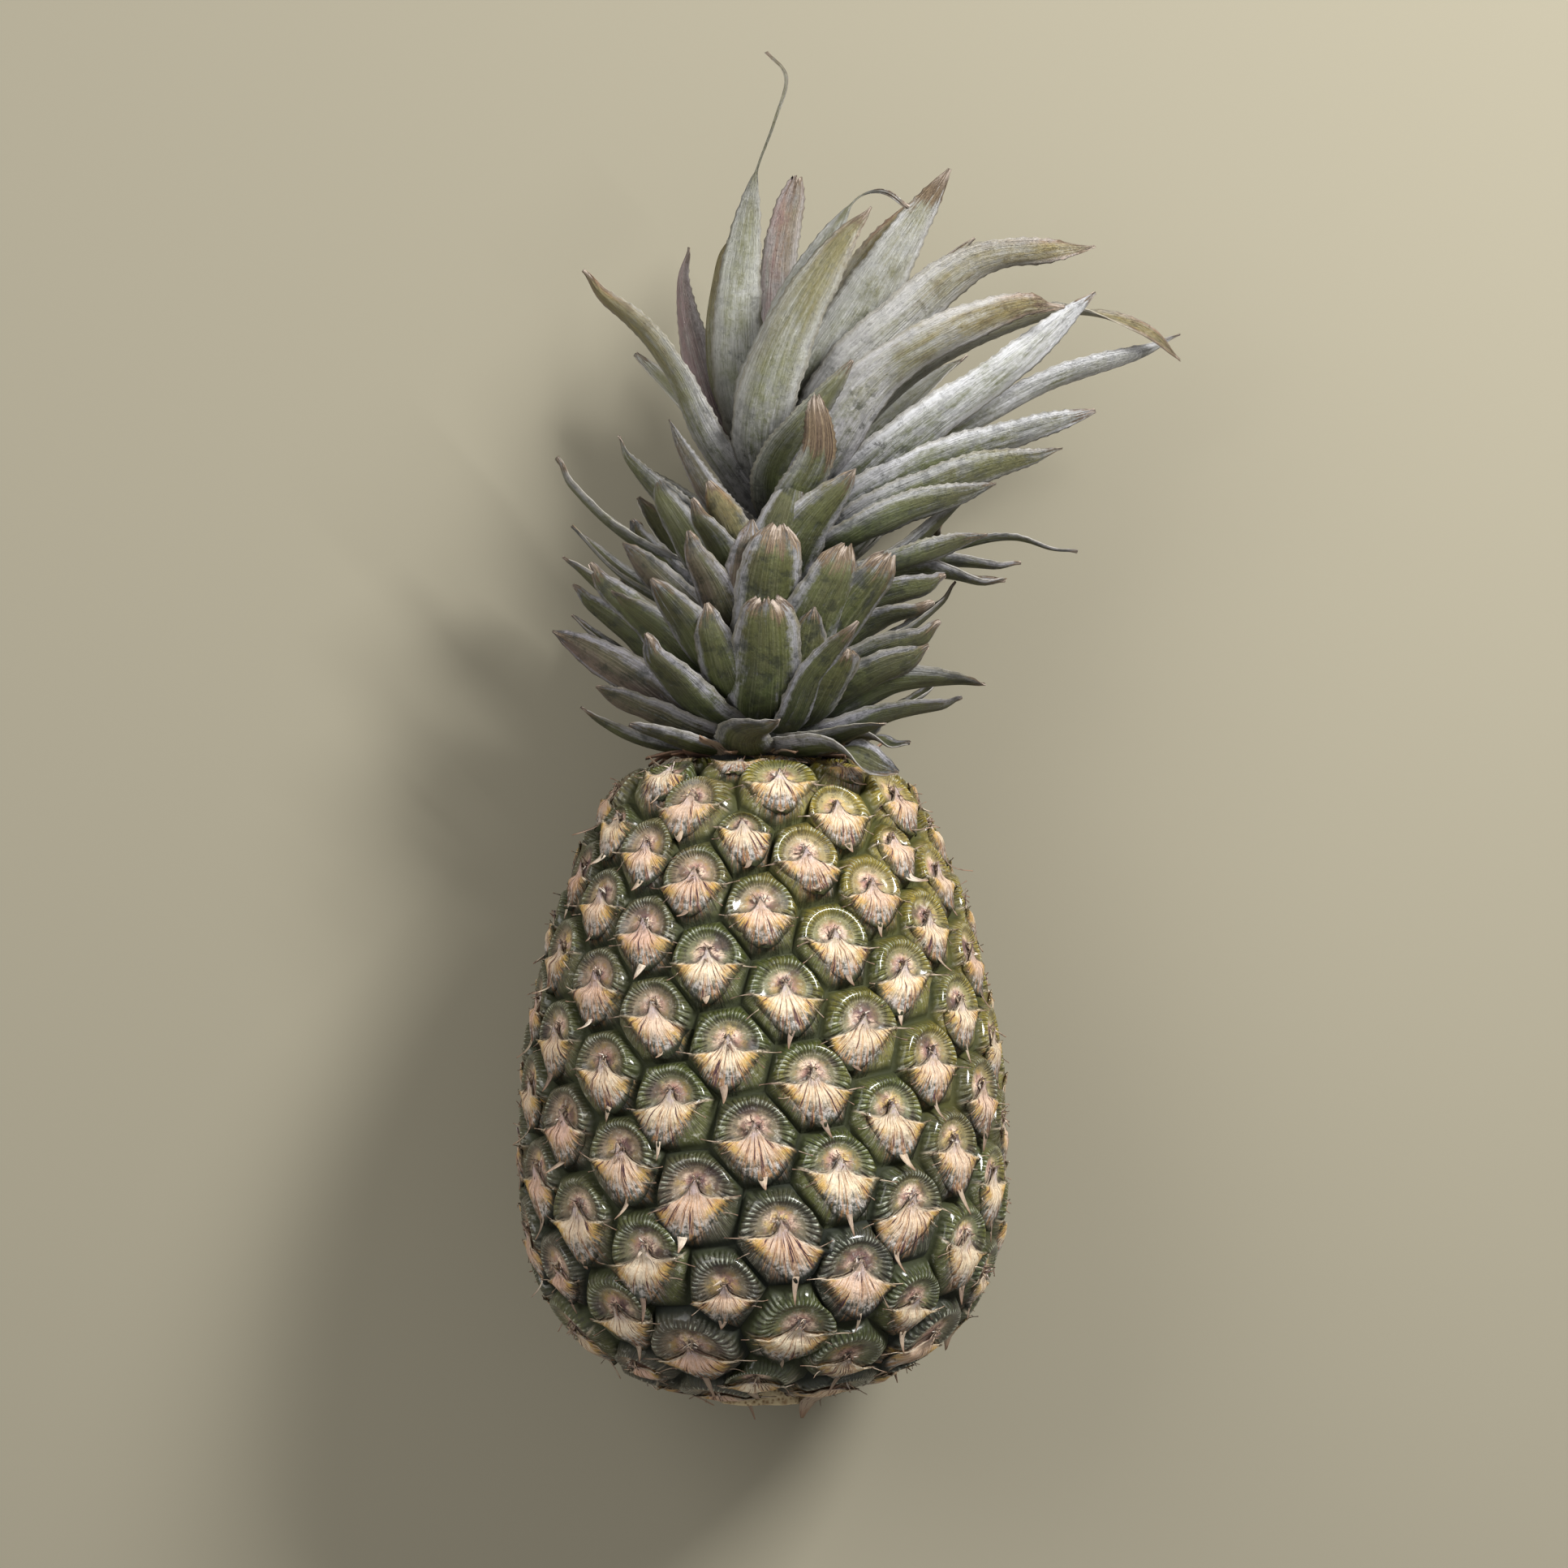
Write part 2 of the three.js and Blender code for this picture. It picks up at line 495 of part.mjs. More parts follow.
const LEAF_COLOR = 0x87916b;
const LEAF_COLORS = {
  leaf_right_arching: 0x9a7b4a,
  leaf_right_hooked: 0x94864f,
  leaf_left_purple: 0x7b5a60,
  leaf_left_orange_tip: 0x9a7448,
  leaf_back_pink: 0x93726a,
  leaf_right_silver: 0xa5a794,
  leaf_right_white: 0xb3b09c,
  leaf_right_red_edge: 0x8a6a4c,
};

function addMesh(group, name, solid, color, roughness) {
  const material = new THREE.MeshStandardMaterial({ color, roughness, metalness: 0 });
  const mesh = new THREE.Mesh(geometryFrom(solid), material);
  mesh.name = name;
  group.add(mesh);
}

const stalk = stalkSolid();
const underSurface = solidOf(new THREE.BoxGeometry(400, 400, 40).translate(0, 0, -20));
const fruit = largestBody(fruitSolid().subtract(stalkSolid(GAP)).subtract(underSurface));
addMesh(part, "fruit", fruit, 0x6b6a33, 0.45);
addMesh(part, "stalk_end", stalk, 0xa08a5c, 0.8);

const keepClear = [
  stemSolid(GAP),
  fruitSolid(GAP).translate(crownBase.clone().negate().toArray()),
];
const cutClear = (solid, neighbours) =>
  neighbours.reduce((left, neighbour) => left.subtract(neighbour), solid);
for (const blade of [...LARGE_LEAVES, ...backLeaves()]) {
  const section = blade.name.startsWith("leaf_back_") ? SHORT_SECTION : LARGE_SECTION;
  const rings = RINGS_PER_POINT * blade.rib.length;
  const cut = largestBody(cutClear(leafSolid(blade, section, rings), keepClear));
  addMesh(crown, blade.name, cut, LEAF_COLORS[blade.name] ?? LEAF_COLOR, 0.6);
  keepClear.push(leafSolid(blade, section, rings, GAP));
}

const stem = stemSolid().subtract(keepClear[1]);
const shortLeaves = [...SHORT_LEAVES, ...sideLeaves()].map(blunt).flatMap((blade) =>
  cutClear(leafSolid(blade, SHORT_SECTION, SHORT_RINGS), keepClear.slice(1))
    .decompose()
    .filter((body) => body.intersect(stem).volume() > 1),
);
const stemWithLeaves = largestBody(wasm.Manifold.union([stem, ...shortLeaves]));
addMesh(crown, "crown_stem", stemWithLeaves, 0x8d9070, 0.7);

export default part;
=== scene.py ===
"""Looks of a whole pineapple that lies on its side: the skin of eyes, the dry bracts and flower
remnants on them, the leaves of the crown and the cut stalk.

Shapes are worked out in millimetres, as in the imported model, and become metres when a piece is made.
"""
import math
from functools import partial

import bmesh
import bpy
import mathutils
import numpy as np
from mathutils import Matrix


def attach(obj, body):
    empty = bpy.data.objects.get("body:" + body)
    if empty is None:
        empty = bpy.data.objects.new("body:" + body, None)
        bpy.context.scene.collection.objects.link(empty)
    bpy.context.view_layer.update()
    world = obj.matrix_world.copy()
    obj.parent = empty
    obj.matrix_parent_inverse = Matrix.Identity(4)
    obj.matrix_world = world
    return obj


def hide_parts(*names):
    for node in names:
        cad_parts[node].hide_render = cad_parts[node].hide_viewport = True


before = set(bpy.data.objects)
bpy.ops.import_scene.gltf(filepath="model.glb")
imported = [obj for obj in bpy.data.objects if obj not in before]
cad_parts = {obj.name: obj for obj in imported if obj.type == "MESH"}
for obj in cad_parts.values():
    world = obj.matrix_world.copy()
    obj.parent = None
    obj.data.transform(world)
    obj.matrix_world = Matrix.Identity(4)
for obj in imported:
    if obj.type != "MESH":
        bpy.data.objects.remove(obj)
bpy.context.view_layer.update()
rng = np.random.default_rng(7)
MM = 0.001

# The fruit, in the frame of the standing fruit: z along its axis from the stalk's end

FRUIT_LENGTH = 161.0
FRUIT_RADIUS = 61.0
WIDEST_HEIGHT = 58.0
BOTTOM_ROUNDNESS = 2.6
BOTTOM_FULLNESS = 2.2
SHOULDER_TAPER = 0.45
SHOULDER_CURVE = 2.3
TOP_FLATNESS = 50
FRUIT_TILT = math.radians(3.5)
REST_HEIGHT = 82.5  # the height on the axis that lies over the frame's origin
AXIS_OVER_SURFACE = 59.9
EYE_TURN = math.radians(-137.4315)
FIRST_EYE_ARC = 7.45
FIRST_EYE_TURN = math.radians(239.1)
EYE_AREA = 460.0  # skin for each eye, in square millimetres
TOP_EYE_AREA = 271.0
EYE_RISE = 1.022
LAST_EYE_MARGIN = 5.0
GROOVE_DEPTH = 2.3
CELL_DROP = 0.31  # how far a cell's corners are lowered, in shares of their distance from its eye
CELL_MARGIN = 1.02  # a cell's size, in shares of the mean distance of its sides
STALK_RADIUS = 11.0
TANGENT_STEP = 0.5  # half of the arc that gives an eye's upward direction
POINTS_AT_ONCE = 20000


def fruit_radius(height):
    """Radius at a height on the axis: a rounded end below the widest height, a taper above it."""
    drop = np.clip((WIDEST_HEIGHT - height) / WIDEST_HEIGHT, 0, 1)
    low = np.maximum(0, 1 - drop**BOTTOM_ROUNDNESS) ** (1 / BOTTOM_FULLNESS)
    rise = np.clip((height - WIDEST_HEIGHT) / (FRUIT_LENGTH - WIDEST_HEIGHT), 0, 1)
    high = (1 - SHOULDER_TAPER * rise**SHOULDER_CURVE) * np.sqrt(1 - rise**TOP_FLATNESS)
    return FRUIT_RADIUS * np.where(height < WIDEST_HEIGHT, low, high)


HEIGHTS = FRUIT_LENGTH * (1 - np.cos(np.linspace(0, math.pi, 601))) / 2
RADII = fruit_radius(HEIGHTS)
ARCS = np.concatenate([[0], np.cumsum(np.hypot(np.diff(HEIGHTS), np.diff(RADII)))])
SLOPE_ARCS = (ARCS[1:] + ARCS[:-1]) / 2
SLOPES = np.arctan2(np.diff(RADII), np.diff(HEIGHTS))


def over_skin(turn, arc, over):
    """Points over the smooth fruit: the outline's radius and height at an arc length, moved along
    the outline's normal by a distance, then turned round the axis."""
    slope = np.interp(arc, SLOPE_ARCS, SLOPES)
    out = np.interp(arc, ARCS, RADII) + over * np.cos(slope)
    height = np.interp(arc, ARCS, HEIGHTS) - over * np.sin(slope)
    return np.stack([out * np.sin(turn), -out * np.cos(turn), height], -1)


def foot_on_skin(points):
    """Turn and arc length of the place on the smooth fruit nearest to each point: the nearest
    sample of the outline, then a step along its tangent."""
    flat = points.reshape(-1, 3)
    reach = np.hypot(flat[:, 0], flat[:, 1])
    arcs = np.empty(len(flat))
    for start in range(0, len(flat), POINTS_AT_ONCE):
        part = slice(start, start + POINTS_AT_ONCE)
        away = (reach[part, None] - RADII) ** 2 + (flat[part, 2, None] - HEIGHTS) ** 2
        near = away.argmin(1)
        slope = np.interp(ARCS[near], SLOPE_ARCS, SLOPES)
        step = (reach[part] - RADII[near]) * np.sin(slope)
        step += (flat[part, 2] - HEIGHTS[near]) * np.cos(slope)
        arcs[part] = np.clip(ARCS[near] + step, 0, ARCS[-1])
    turns = np.arctan2(flat[:, 0], -flat[:, 1])
    return turns.reshape(points.shape[:-1]), arcs.reshape(points.shape[:-1])


def laid_down(points):
    """From the standing fruit's frame to the part's: the axis turns down to the surface, with the
    crown's end a little lower, and nothing goes below the surface."""
    x, y, z = np.moveaxis(points, -1, 0)
    along = z - REST_HEIGHT
    forward = along * math.cos(FRUIT_TILT) - y * math.sin(FRUIT_TILT)
    up = AXIS_OVER_SURFACE - along * math.sin(FRUIT_TILT) - y * math.cos(FRUIT_TILT)
    return np.stack([x, forward, np.maximum(up, 0)], -1)


def eye_middles():
    """Turn and arc length of each eye: one golden turn apart, at even areas of skin."""
    arcs = [FIRST_EYE_ARC]
    while arcs[-1] < ARCS[-1] - LAST_EYE_MARGIN:
        height = np.interp(arcs[-1], ARCS, HEIGHTS)
        around = 2 * math.pi * np.interp(arcs[-1], ARCS, RADII)
        below = height < WIDEST_HEIGHT
        arcs.append(arcs[-1] + (EYE_AREA / around if below else max(EYE_RISE, TOP_EYE_AREA / around)))
    arcs = np.array(arcs[:-1])
    return FIRST_EYE_TURN + EYE_TURN * np.arange(len(arcs)), arcs


def smoothstep(low, high, value):
    """0 below low, 1 above high, and a smooth cubic between them."""
    share = np.clip((value - low) / (high - low), 0, 1)
    return share * share * (3 - 2 * share)


def column(values):
    """One value for each grid, or one for all, to work with its rows and columns."""
    return np.atleast_1d(values)[:, None, None]


def paired(first, second):
    """Two arrays, stretched to one shape, as the coordinates of places."""
    return np.stack(np.broadcast_arrays(first, second), -1)


def unit(vectors):
    """The same directions with length 1."""
    return vectors / np.linalg.norm(vectors, axis=-1, keepdims=True)


class Eyes:
    """The eyes of the fruit with their frames (right, up, out) and the sectors that each cell is
    made of. A sector runs from an eye's middle to the edge between two corners of its cell. The
    cell hangs below the eye's middle: its own centre is lower by drop, and size is its radius.

    A place on an eye is (x, y): 0, 0 in the middle, and 1 away from it at the groove."""

    def __init__(self):
        self.turn, self.arc = eye_middles()
        self.count = len(self.turn)
        self.middle = over_skin(self.turn, self.arc, 0)
        self.out = over_skin(self.turn, self.arc, 1) - self.middle
        ahead = over_skin(self.turn, np.minimum(self.arc + TANGENT_STEP, ARCS[-1]), 0)
        behind = over_skin(self.turn, np.maximum(self.arc - TANGENT_STEP, 0), 0)
        self.up = unit(ahead - behind)
        self.right = np.cross(self.up, self.out)
        triples = self.neighbours()
        between = self.middle[triples].mean(1)
        drop = CELL_DROP * np.linalg.norm(self.middle[triples[:, 0]] - between, axis=1)
        lowered = between - drop[:, None] * self.up[triples].mean(1)
        corners = over_skin(*foot_on_skin(lowered), 0)
        owner, corner = triples.ravel(), np.repeat(np.arange(len(triples)), 3)
        reach = corners[corner] - self.middle[owner]
        angle = np.arctan2((reach * self.up[owner]).sum(1), (reach * self.right[owner]).sum(1))
        order = np.lexsort((angle, owner))
        self.owner, corner = owner[order], corner[order]
        first = np.searchsorted(self.owner, np.arange(self.count))
        following = np.arange(1, len(order) + 1)
        last = np.append(first[1:], len(order)) - 1
        following[last] = first
        self.start, self.end = corners[corner], corners[corner[following]]
        sides = np.bincount(self.owner)
        below = ((self.middle[self.owner] - self.start) * self.up[self.owner]).sum(1)
        self.drop = np.bincount(self.owner, below) / sides
        self.centre = self.middle - self.drop[:, None] * self.up
        reach = np.linalg.norm((self.start + self.end) / 2 - self.centre[self.owner], axis=1)
        self.size = np.bincount(self.owner, reach) / sides * CELL_MARGIN

    def neighbours(self):
        """Triples of neighbouring eyes: the faces of the hull of the eyes spread over a ball."""
        polar = math.pi * self.arc / ARCS[-1]
        flat = np.sin(polar)
        ball = np.stack([flat * np.sin(self.turn), -flat * np.cos(self.turn), -np.cos(polar)], 1)
        shape = bmesh.new()
        for place in ball:
            shape.verts.new(place)
        shape.verts.index_update()
        bmesh.ops.convex_hull(shape, input=shape.verts)
        triples = np.array([[corner.index for corner in face.verts] for face in shape.faces])
        shape.free()
        return triples


eyes = Eyes()
eye_scale = rng.uniform(0.88, 1.12, eyes.count)
eye_tint = rng.uniform(0, 1, eyes.count)
eye_lean = rng.uniform(-1, 1, eyes.count)

# Height of the skin over the smooth fruit, from an eye's middle (0) to its groove (1).
SHARES = [0, 0.28, 0.42, 0.54, 0.64, 0.72, 0.79, 0.86, 0.93, 1]
RIM_PROFILE = [0.5, 0.4, 0.5, 1.0, 1.7, 2.1, 2.0, 1.3, -0.3, -GROOVE_DEPTH]
LOW_PROFILE = [0.5, 0.9, 1.6, 1.6, 1.4, 1.2, 0.9, 0.4, -0.6, -GROOVE_DEPTH]
BRIDGE_FROM = 0.8  # past this share, what lies on an eye bridges the groove
LOWEST_ON_EYE = 0.35
BRACT_TOP = -0.36  # height y on an eye of the line that its bract hangs from
BRIM_LOW = -0.43  # the bract's upper edge is at y = BRIM_LOW + BRIM_FLARE / (|x| + BRIM_NECK)
BRIM_FLARE = 0.055
BRIM_NECK = 0.11
BRACT_LEAN = 0.3  # how far a bract's lower end swings to a side
BRACT_TURN = 0.16  # how far its upper line tilts
BRACT_SAG = 0.3  # how far its horns rise or droop
FAN_TOP = 0.38  # how far under the eye's middle its fan starts to narrow
FAN_HALF = 0.52


def skin_height(share, angle, scale):
    """Relief of an eye: a raised rim round its upper part and a slope under the bract."""
    rim = np.interp(share, SHARES, RIM_PROFILE)
    low = np.interp(share, SHARES, LOW_PROFILE)
    relief = low + (rim - low) * smoothstep(BRACT_TOP - 0.1, BRACT_TOP + 0.1, share * np.sin(angle))
    return (relief + GROOVE_DEPTH) * scale - GROOVE_DEPTH


def on_eye(eye, x, y, lift):
    """Points in the part's frame at places (x, y) on eyes, one eye for each grid, lifted over the
    skin. They bridge the groove instead of following it down."""
    eye = np.broadcast_to(column(eye), x.shape)
    angle, share = np.arctan2(y, x), np.hypot(x, y)
    drop, size = eyes.drop[eye], eyes.size[eye]
    reach = np.sqrt(np.maximum(size**2 - (drop * np.cos(angle)) ** 2, 0)) - drop * np.sin(angle)
    offset = (reach * x)[..., None] * eyes.right[eye] + (reach * y)[..., None] * eyes.up[eye]
    turn, arc = foot_on_skin(eyes.middle[eye] + offset)
    over = skin_height(np.minimum(share, BRIDGE_FROM), angle, eye_scale[eye]) + lift
    points = laid_down(over_skin(turn, arc, over))
    points[..., 2] = np.maximum(points[..., 2], LOWEST_ON_EYE)
    return points


# Making pieces

MERGE_DISTANCE = 2e-6


def add_object(name, data):
    """An object in the scene, at the origin."""
    made = bpy.data.objects.new(name, data)
    bpy.context.scene.collection.objects.link(made)
    return made


def make_piece(name, grids, finish, slot, replaced, uv=None, tints=(), thickness=0):
    """One piece from grids of points (grid, row, column, xyz) in millimetres. Each face takes its
    corners' places in uv, and its grid's number from each of the tints. Points that meet are merged."""
    count, rows, columns = grids.shape[:3]
    index = np.arange(count * rows * columns).reshape(count, rows, columns)
    square = [index[:, :-1, :-1], index[:, :-1, 1:], index[:, 1:, 1:], index[:, 1:, :-1]]
    faces = np.stack(square, -1).reshape(-1, 4)
    mesh = bpy.data.meshes.new(name)
    mesh.vertices.add(index.size)
    mesh.vertices.foreach_set("co", (grids * MM).astype(np.float32).ravel())
    mesh.loops.add(faces.size)
    mesh.loops.foreach_set("vertex_index", faces.ravel().astype(np.int32))
    mesh.polygons.add(len(faces))
    mesh.polygons.foreach_set("loop_start", np.arange(0, faces.size, 4, dtype=np.int32))
    mesh.polygons.foreach_set("use_smooth", np.ones(len(faces), bool))
    if uv is not None:
        places = np.broadcast_to(uv, grids.shape[:3] + (2,)).reshape(-1, 2)[faces.ravel()]
        layer = mesh.uv_layers.new(name="UVMap")
        layer.uv.foreach_set("vector", places.astype(np.float32).ravel())
    for title, values in dict(tints).items():
        layer = mesh.attributes.new(title, "FLOAT", "FACE")
        per_face = np.repeat(np.broadcast_to(values, count), (rows - 1) * (columns - 1))
        layer.data.foreach_set("value", per_face.astype(np.float32))
    mesh.update(calc_edges=True)
    shape = bmesh.new()
    shape.from_mesh(mesh)
    bmesh.ops.remove_doubles(shape, verts=shape.verts, dist=MERGE_DISTANCE)
    shape.to_mesh(mesh)
    shape.free()
    piece = add_object(name, mesh)
    mesh.materials.append(finish)
    if thickness:
        wall = piece.modifiers.new("Thickness", "SOLIDIFY")
        wall.thickness = thickness * MM
        wall.offset = -1
    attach(piece, "root")
    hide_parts(*replaced)
    return piece


# Finishes

RIBS_ROUND = 38  # ribs on the whole ring of an eye
LOOKS = ("bloom", "warm", "purple", "dry")


class Term:
    """A number that changes over a surface. Arithmetic on it adds the nodes that it needs."""

    def __init__(self, finish, socket):
        self.finish, self.socket = finish, socket

    def math(self, operation, *others):
        """A Math node on this number and on others after it."""
        return self.finish.node("ShaderNodeMath", {"operation": operation}, [self, *others])

    def __add__(self, other):
        return self.math("ADD", other)

    def __sub__(self, other):
        return self.math("SUBTRACT", other)

    def __rsub__(self, other):
        return self.finish.node("ShaderNodeMath", {"operation": "SUBTRACT"}, [other, self])

    def __mul__(self, other):
        return self.math("MULTIPLY", other)

    def __truediv__(self, other):
        return self.math("DIVIDE", other)

    def __rtruediv__(self, other):
        return self.finish.node("ShaderNodeMath", {"operation": "DIVIDE"}, [other, self])

    def __neg__(self):
        return self.math("MULTIPLY", -1.0)

    def __abs__(self):
        return self.math("ABSOLUTE")

    def __pow__(self, other):
        return self.math("POWER", other)

    __radd__, __rmul__ = __add__, __mul__

    def step(self, low, high):
        """0 at low and 1 at high, smooth between them. low may be the larger."""
        settings = {"interpolation_type": "SMOOTHSTEP", "clamp": True}
        return self.finish.node("ShaderNodeMapRange", settings, [self, low, high, 0.0, 1.0])


class Finish:
    """One material: its Principled shader and one method that adds any other node."""

    def __init__(self, name, **constants):
        self.material = bpy.data.materials.new(name)
        self.material.use_nodes = True
        self.tree = self.material.node_tree
        self.shader = self.tree.nodes["Principled BSDF"]
        for title, value in constants.items():
            self.shader.inputs[title.replace("_", " ")].default_value = value

    def node(self, kind, settings, inputs, output=0):
        """Adds a node, sets it up, and links or sets its inputs, by order or by name."""
        made = self.tree.nodes.new(kind)
        for title, value in settings.items():
            setattr(made, title, value)
        named = inputs.items() if isinstance(inputs, dict) else enumerate(inputs)
        for key, value in named:
            if isinstance(value, Term):
                self.tree.links.new(value.socket, made.inputs[key])
            else:
                made.inputs[key].default_value = value
        return Term(self, made.outputs[output])

    def paint(self, color, *coats):
        """A colour under coats of others, each laid on by its own factor."""
        for factor, coat in coats:
            under, over = (tone if isinstance(tone, Term) else (*tone, 1) for tone in (color, coat))
            inputs = {0: factor, 6: under, 7: over}
            color = self.node("ShaderNodeMix", {"data_type": "RGBA"}, inputs, 2)
        return color

    def place(self):
        """Object coordinates in metres."""
        return self.node("ShaderNodeTexCoord", {}, [], "Object")

    def split(self, vector):
        """A vector's three numbers."""
        parts = self.node("ShaderNodeSeparateXYZ", {}, [vector])
        return [Term(self, socket) for socket in parts.socket.node.outputs]

    def uv(self):
        """The piece's own two coordinates."""
        return self.split(self.node("ShaderNodeUVMap", {"uv_map": "UVMap"}, []))[:2]

    def join(self, x, y, z):
        """A vector from three numbers."""
        return self.node("ShaderNodeCombineXYZ", {}, [x, y, z])

    def tint(self, title):
        """One of the numbers that a piece's faces carry."""
        return self.node("ShaderNodeAttribute", {"attribute_name": title}, [], "Fac")

    def noise(self, vector, scale, detail=3.0, roughness=0.55, distortion=0.0):
        """Cloudy noise around 0.5."""
        inputs = {"Vector": vector, "Scale": scale, "Detail": detail, "Roughness": roughness}
        return self.node("ShaderNodeTexNoise", {}, inputs | {"Distortion": distortion})

    def cells(self, vector, scale):
        """Distance to the nearest of many scattered dots."""
        return self.node("ShaderNodeTexVoronoi", {}, {"Vector": vector, "Scale": scale})

    def surface(self, color, roughness, bumps, **others):
        """Feeds the shader. bumps are pairs of a height and its depth in millimetres."""
        chain = {}
        for height, depth in bumps:
            inputs = {"Height": height, "Distance": depth * MM, "Strength": 1.0}
            chain = {"Normal": self.node("ShaderNodeBump", {}, inputs | chain)}
        links = {"Base Color": color, "Roughness": roughness} | chain | others
        for title, value in links.items():
            self.tree.links.new(value.socket, self.shader.inputs[title])
        return self.material


class EyePattern:
    """What the skin's paint follows. share is the distance from an eye's middle, 1 at its groove,
    and rim its ribbed ring. ripe, dark and rosy follow the place on the fruit and the eye's tint.
    brim is the height over the bract's upper edge and under is 1 below it. fall runs down the bract,
    edge is how far past the side of its fan a place lies, and bract is 1 on the fan."""

    def __init__(self, finish):
        across, along = finish.uv()
        x, y = across * 2 - 1, along * 2 - 1
        self.finish, self.share = finish, (x * x + y * y) ** 0.5
        self.flat, self.tall = x / self.share, y / self.share
        self.tint = finish.tint("tint")
        self.place = finish.place()
        self.blotch = finish.noise(self.place, 70.0, 4.0)
        self.mottle = finish.noise(self.place, 260.0, 5.0, 0.65)
        self.grit = finish.noise(self.place, 430.0, 5.0, 0.75)
        self.fine = finish.noise(self.place, 800.0, 4.0, 0.65)
        self.ray = self.rays(22, 3, 31)
        self.streaks = self.rays(13, 1.6, 77)
        self.hairs = self.rays(75, 2, 13, 2.0).step(0.52, 0.66)
        ripple = (y.math("ARCTAN2", x) * RIBS_ROUND + self.blotch * 10).math("SINE")
        self.ribs = ripple * 0.5 + 0.5
        self.rim = self.share.step(0.48, 0.62) * self.share.step(0.96, 0.8)
        self.find_hues()
        self.find_bract(x, y)

    def rays(self, turns, run, seed, detail=4.0):
        """Noise drawn out from an eye's middle: turns makes it finer round the eye, and run finer
        along the rays."""
        drawn = (self.flat * turns, self.tall * turns, self.share * run + self.tint * seed)
        return self.finish.noise(self.finish.join(*drawn), 1.0, detail, 0.65)

    def find_hues(self):
        """ripe grows to the right and to the crown, dark to the stalk, and rosy to the left."""
        right, ahead = self.finish.split(self.place)[:2]
        tint, blotch = self.tint - 0.5, self.blotch - 0.5
        self.ripe = (right * 13 + ahead * 9 + blotch * 1.8 + tint * 0.3).step(0.1, 1.2)
        self.dark = (ahead * -11 + right * 3 + tint * 0.9 + blotch).step(0.0, 0.9)
        self.rosy = (right * -13 + tint * 0.7 + blotch).step(-0.1, 0.8)
        self.mood = (self.tint * 17.3).math("FRACT")

    def find_bract(self, x, y):
        """The bract's lines, from the same curve and the same lean, turn and sag as its sheet."""
        lean, tint, fine = self.finish.tint("lean"), self.tint - 0.5, self.fine - 0.5
        reach = abs(x + lean * y * BRACT_LEAN)
        down = y + lean * x * BRACT_TURN + tint * x * x * BRACT_SAG
        self.brim = down - BRIM_FLARE / (reach + BRIM_NECK) - BRIM_LOW + fine * 0.04
        self.under = self.brim.step(0.02, -0.03)
        self.fall = ((-down - FAN_TOP) / (1 - FAN_TOP)).math("MAXIMUM", 0)
        fan = (1 - self.fall).math("MAXIMUM", 0) ** 1.3
        self.edge = reach + (self.ray - 0.5) * 0.75 + fine * 0.16 - 0.14
        self.edge = self.edge - FAN_HALF * fan - self.mood * 0.1
        self.bract = self.under * self.edge.step(0.13, -0.16)


def ring_color(finish, eye):
    """The upper part of an eye: an olive rim with painted highlights (pale glints) on its ribs and
    painted shade down its outer slope, a disc that turns cream, yellow and pink towards the middle,
    a speckled heart, and painted shade on the disc just above the bract."""
    share, tint, ray, mottle = eye.share, eye.tint, eye.ray, eye.mottle
    green = finish.paint(
        (0.085, 0.1, 0.014),
        (eye.ripe, (0.38, 0.28, 0.03)),
        (eye.dark, (0.018, 0.022, 0.009)),
        (eye.rosy * 0.5, (0.13, 0.095, 0.06)),
        (tint.step(0.5, 1.0) * eye.blotch.step(0.4, 0.7) * 0.6, (0.13, 0.095, 0.065)),
        # darker green down the rim's outer slope to the groove: partly the skin's own darker green, partly
        # painted shade on the steep side
        (share.step(0.7, 0.92) * 0.6, (0.02, 0.028, 0.006)),
    )
    disc = finish.paint(
        (0.12, 0.13, 0.055),
        (tint, (0.155, 0.115, 0.07)),
        (eye.dark * 0.6, (0.065, 0.075, 0.045)),
        (eye.ripe * 0.6, (0.38, 0.3, 0.1)),
        (eye.rosy * 0.6, (0.26, 0.17, 0.12)),
        (ray.step(0.46, 0.72) * 0.4, (0.38, 0.35, 0.24)),
        (mottle.step(0.5, 0.64) * share.step(0.6, 0.3) * 0.6, (0.42, 0.27, 0.07)),
    )
    heart = finish.paint(
        (0.8, 0.6, 0.45),
        (mottle.step(0.4, 0.58), (0.42, 0.24, 0.19)),
        (finish.noise(eye.place, 170.0).step(0.54, 0.66) * 0.8, (0.64, 0.46, 0.14)),
    )
    middle = share + (ray - 0.5) * 0.55 + (mottle - 0.5) * 0.35
    purple = finish.noise(eye.place, 130.0).step(0.54, 0.66) * share.step(0.85, 0.5)
    # painted highlights: pale glints on the crests of the rim's ribs, where the light catches them
    painted_glint = eye.ribs.step(0.55, 0.95) * share.step(0.62, 0.7) * share.step(0.84, 0.76)
    return finish.paint(
        green,
        ((share + (ray - 0.5) * 0.12).step(0.68, 0.52), disc),
        (middle.step(0.45, 0.16), heart),
        (eye.grit.step(0.49, 0.54) * middle.step(0.34, 0.12) * 0.9, (0.09, 0.03, 0.035)),
        (purple * 0.7, (0.05, 0.025, 0.035)),
        # painted highlights on the rib crests
        (painted_glint * mottle.step(0.4, 0.56) * 0.6, (0.66, 0.7, 0.55)),
        # painted shade on the disc just above the bract's upper edge, where the bract shades it
        (eye.brim.step(0.16, 0.02) * (1 - eye.under) * 0.6, (0.03, 0.025, 0.015)),
    )


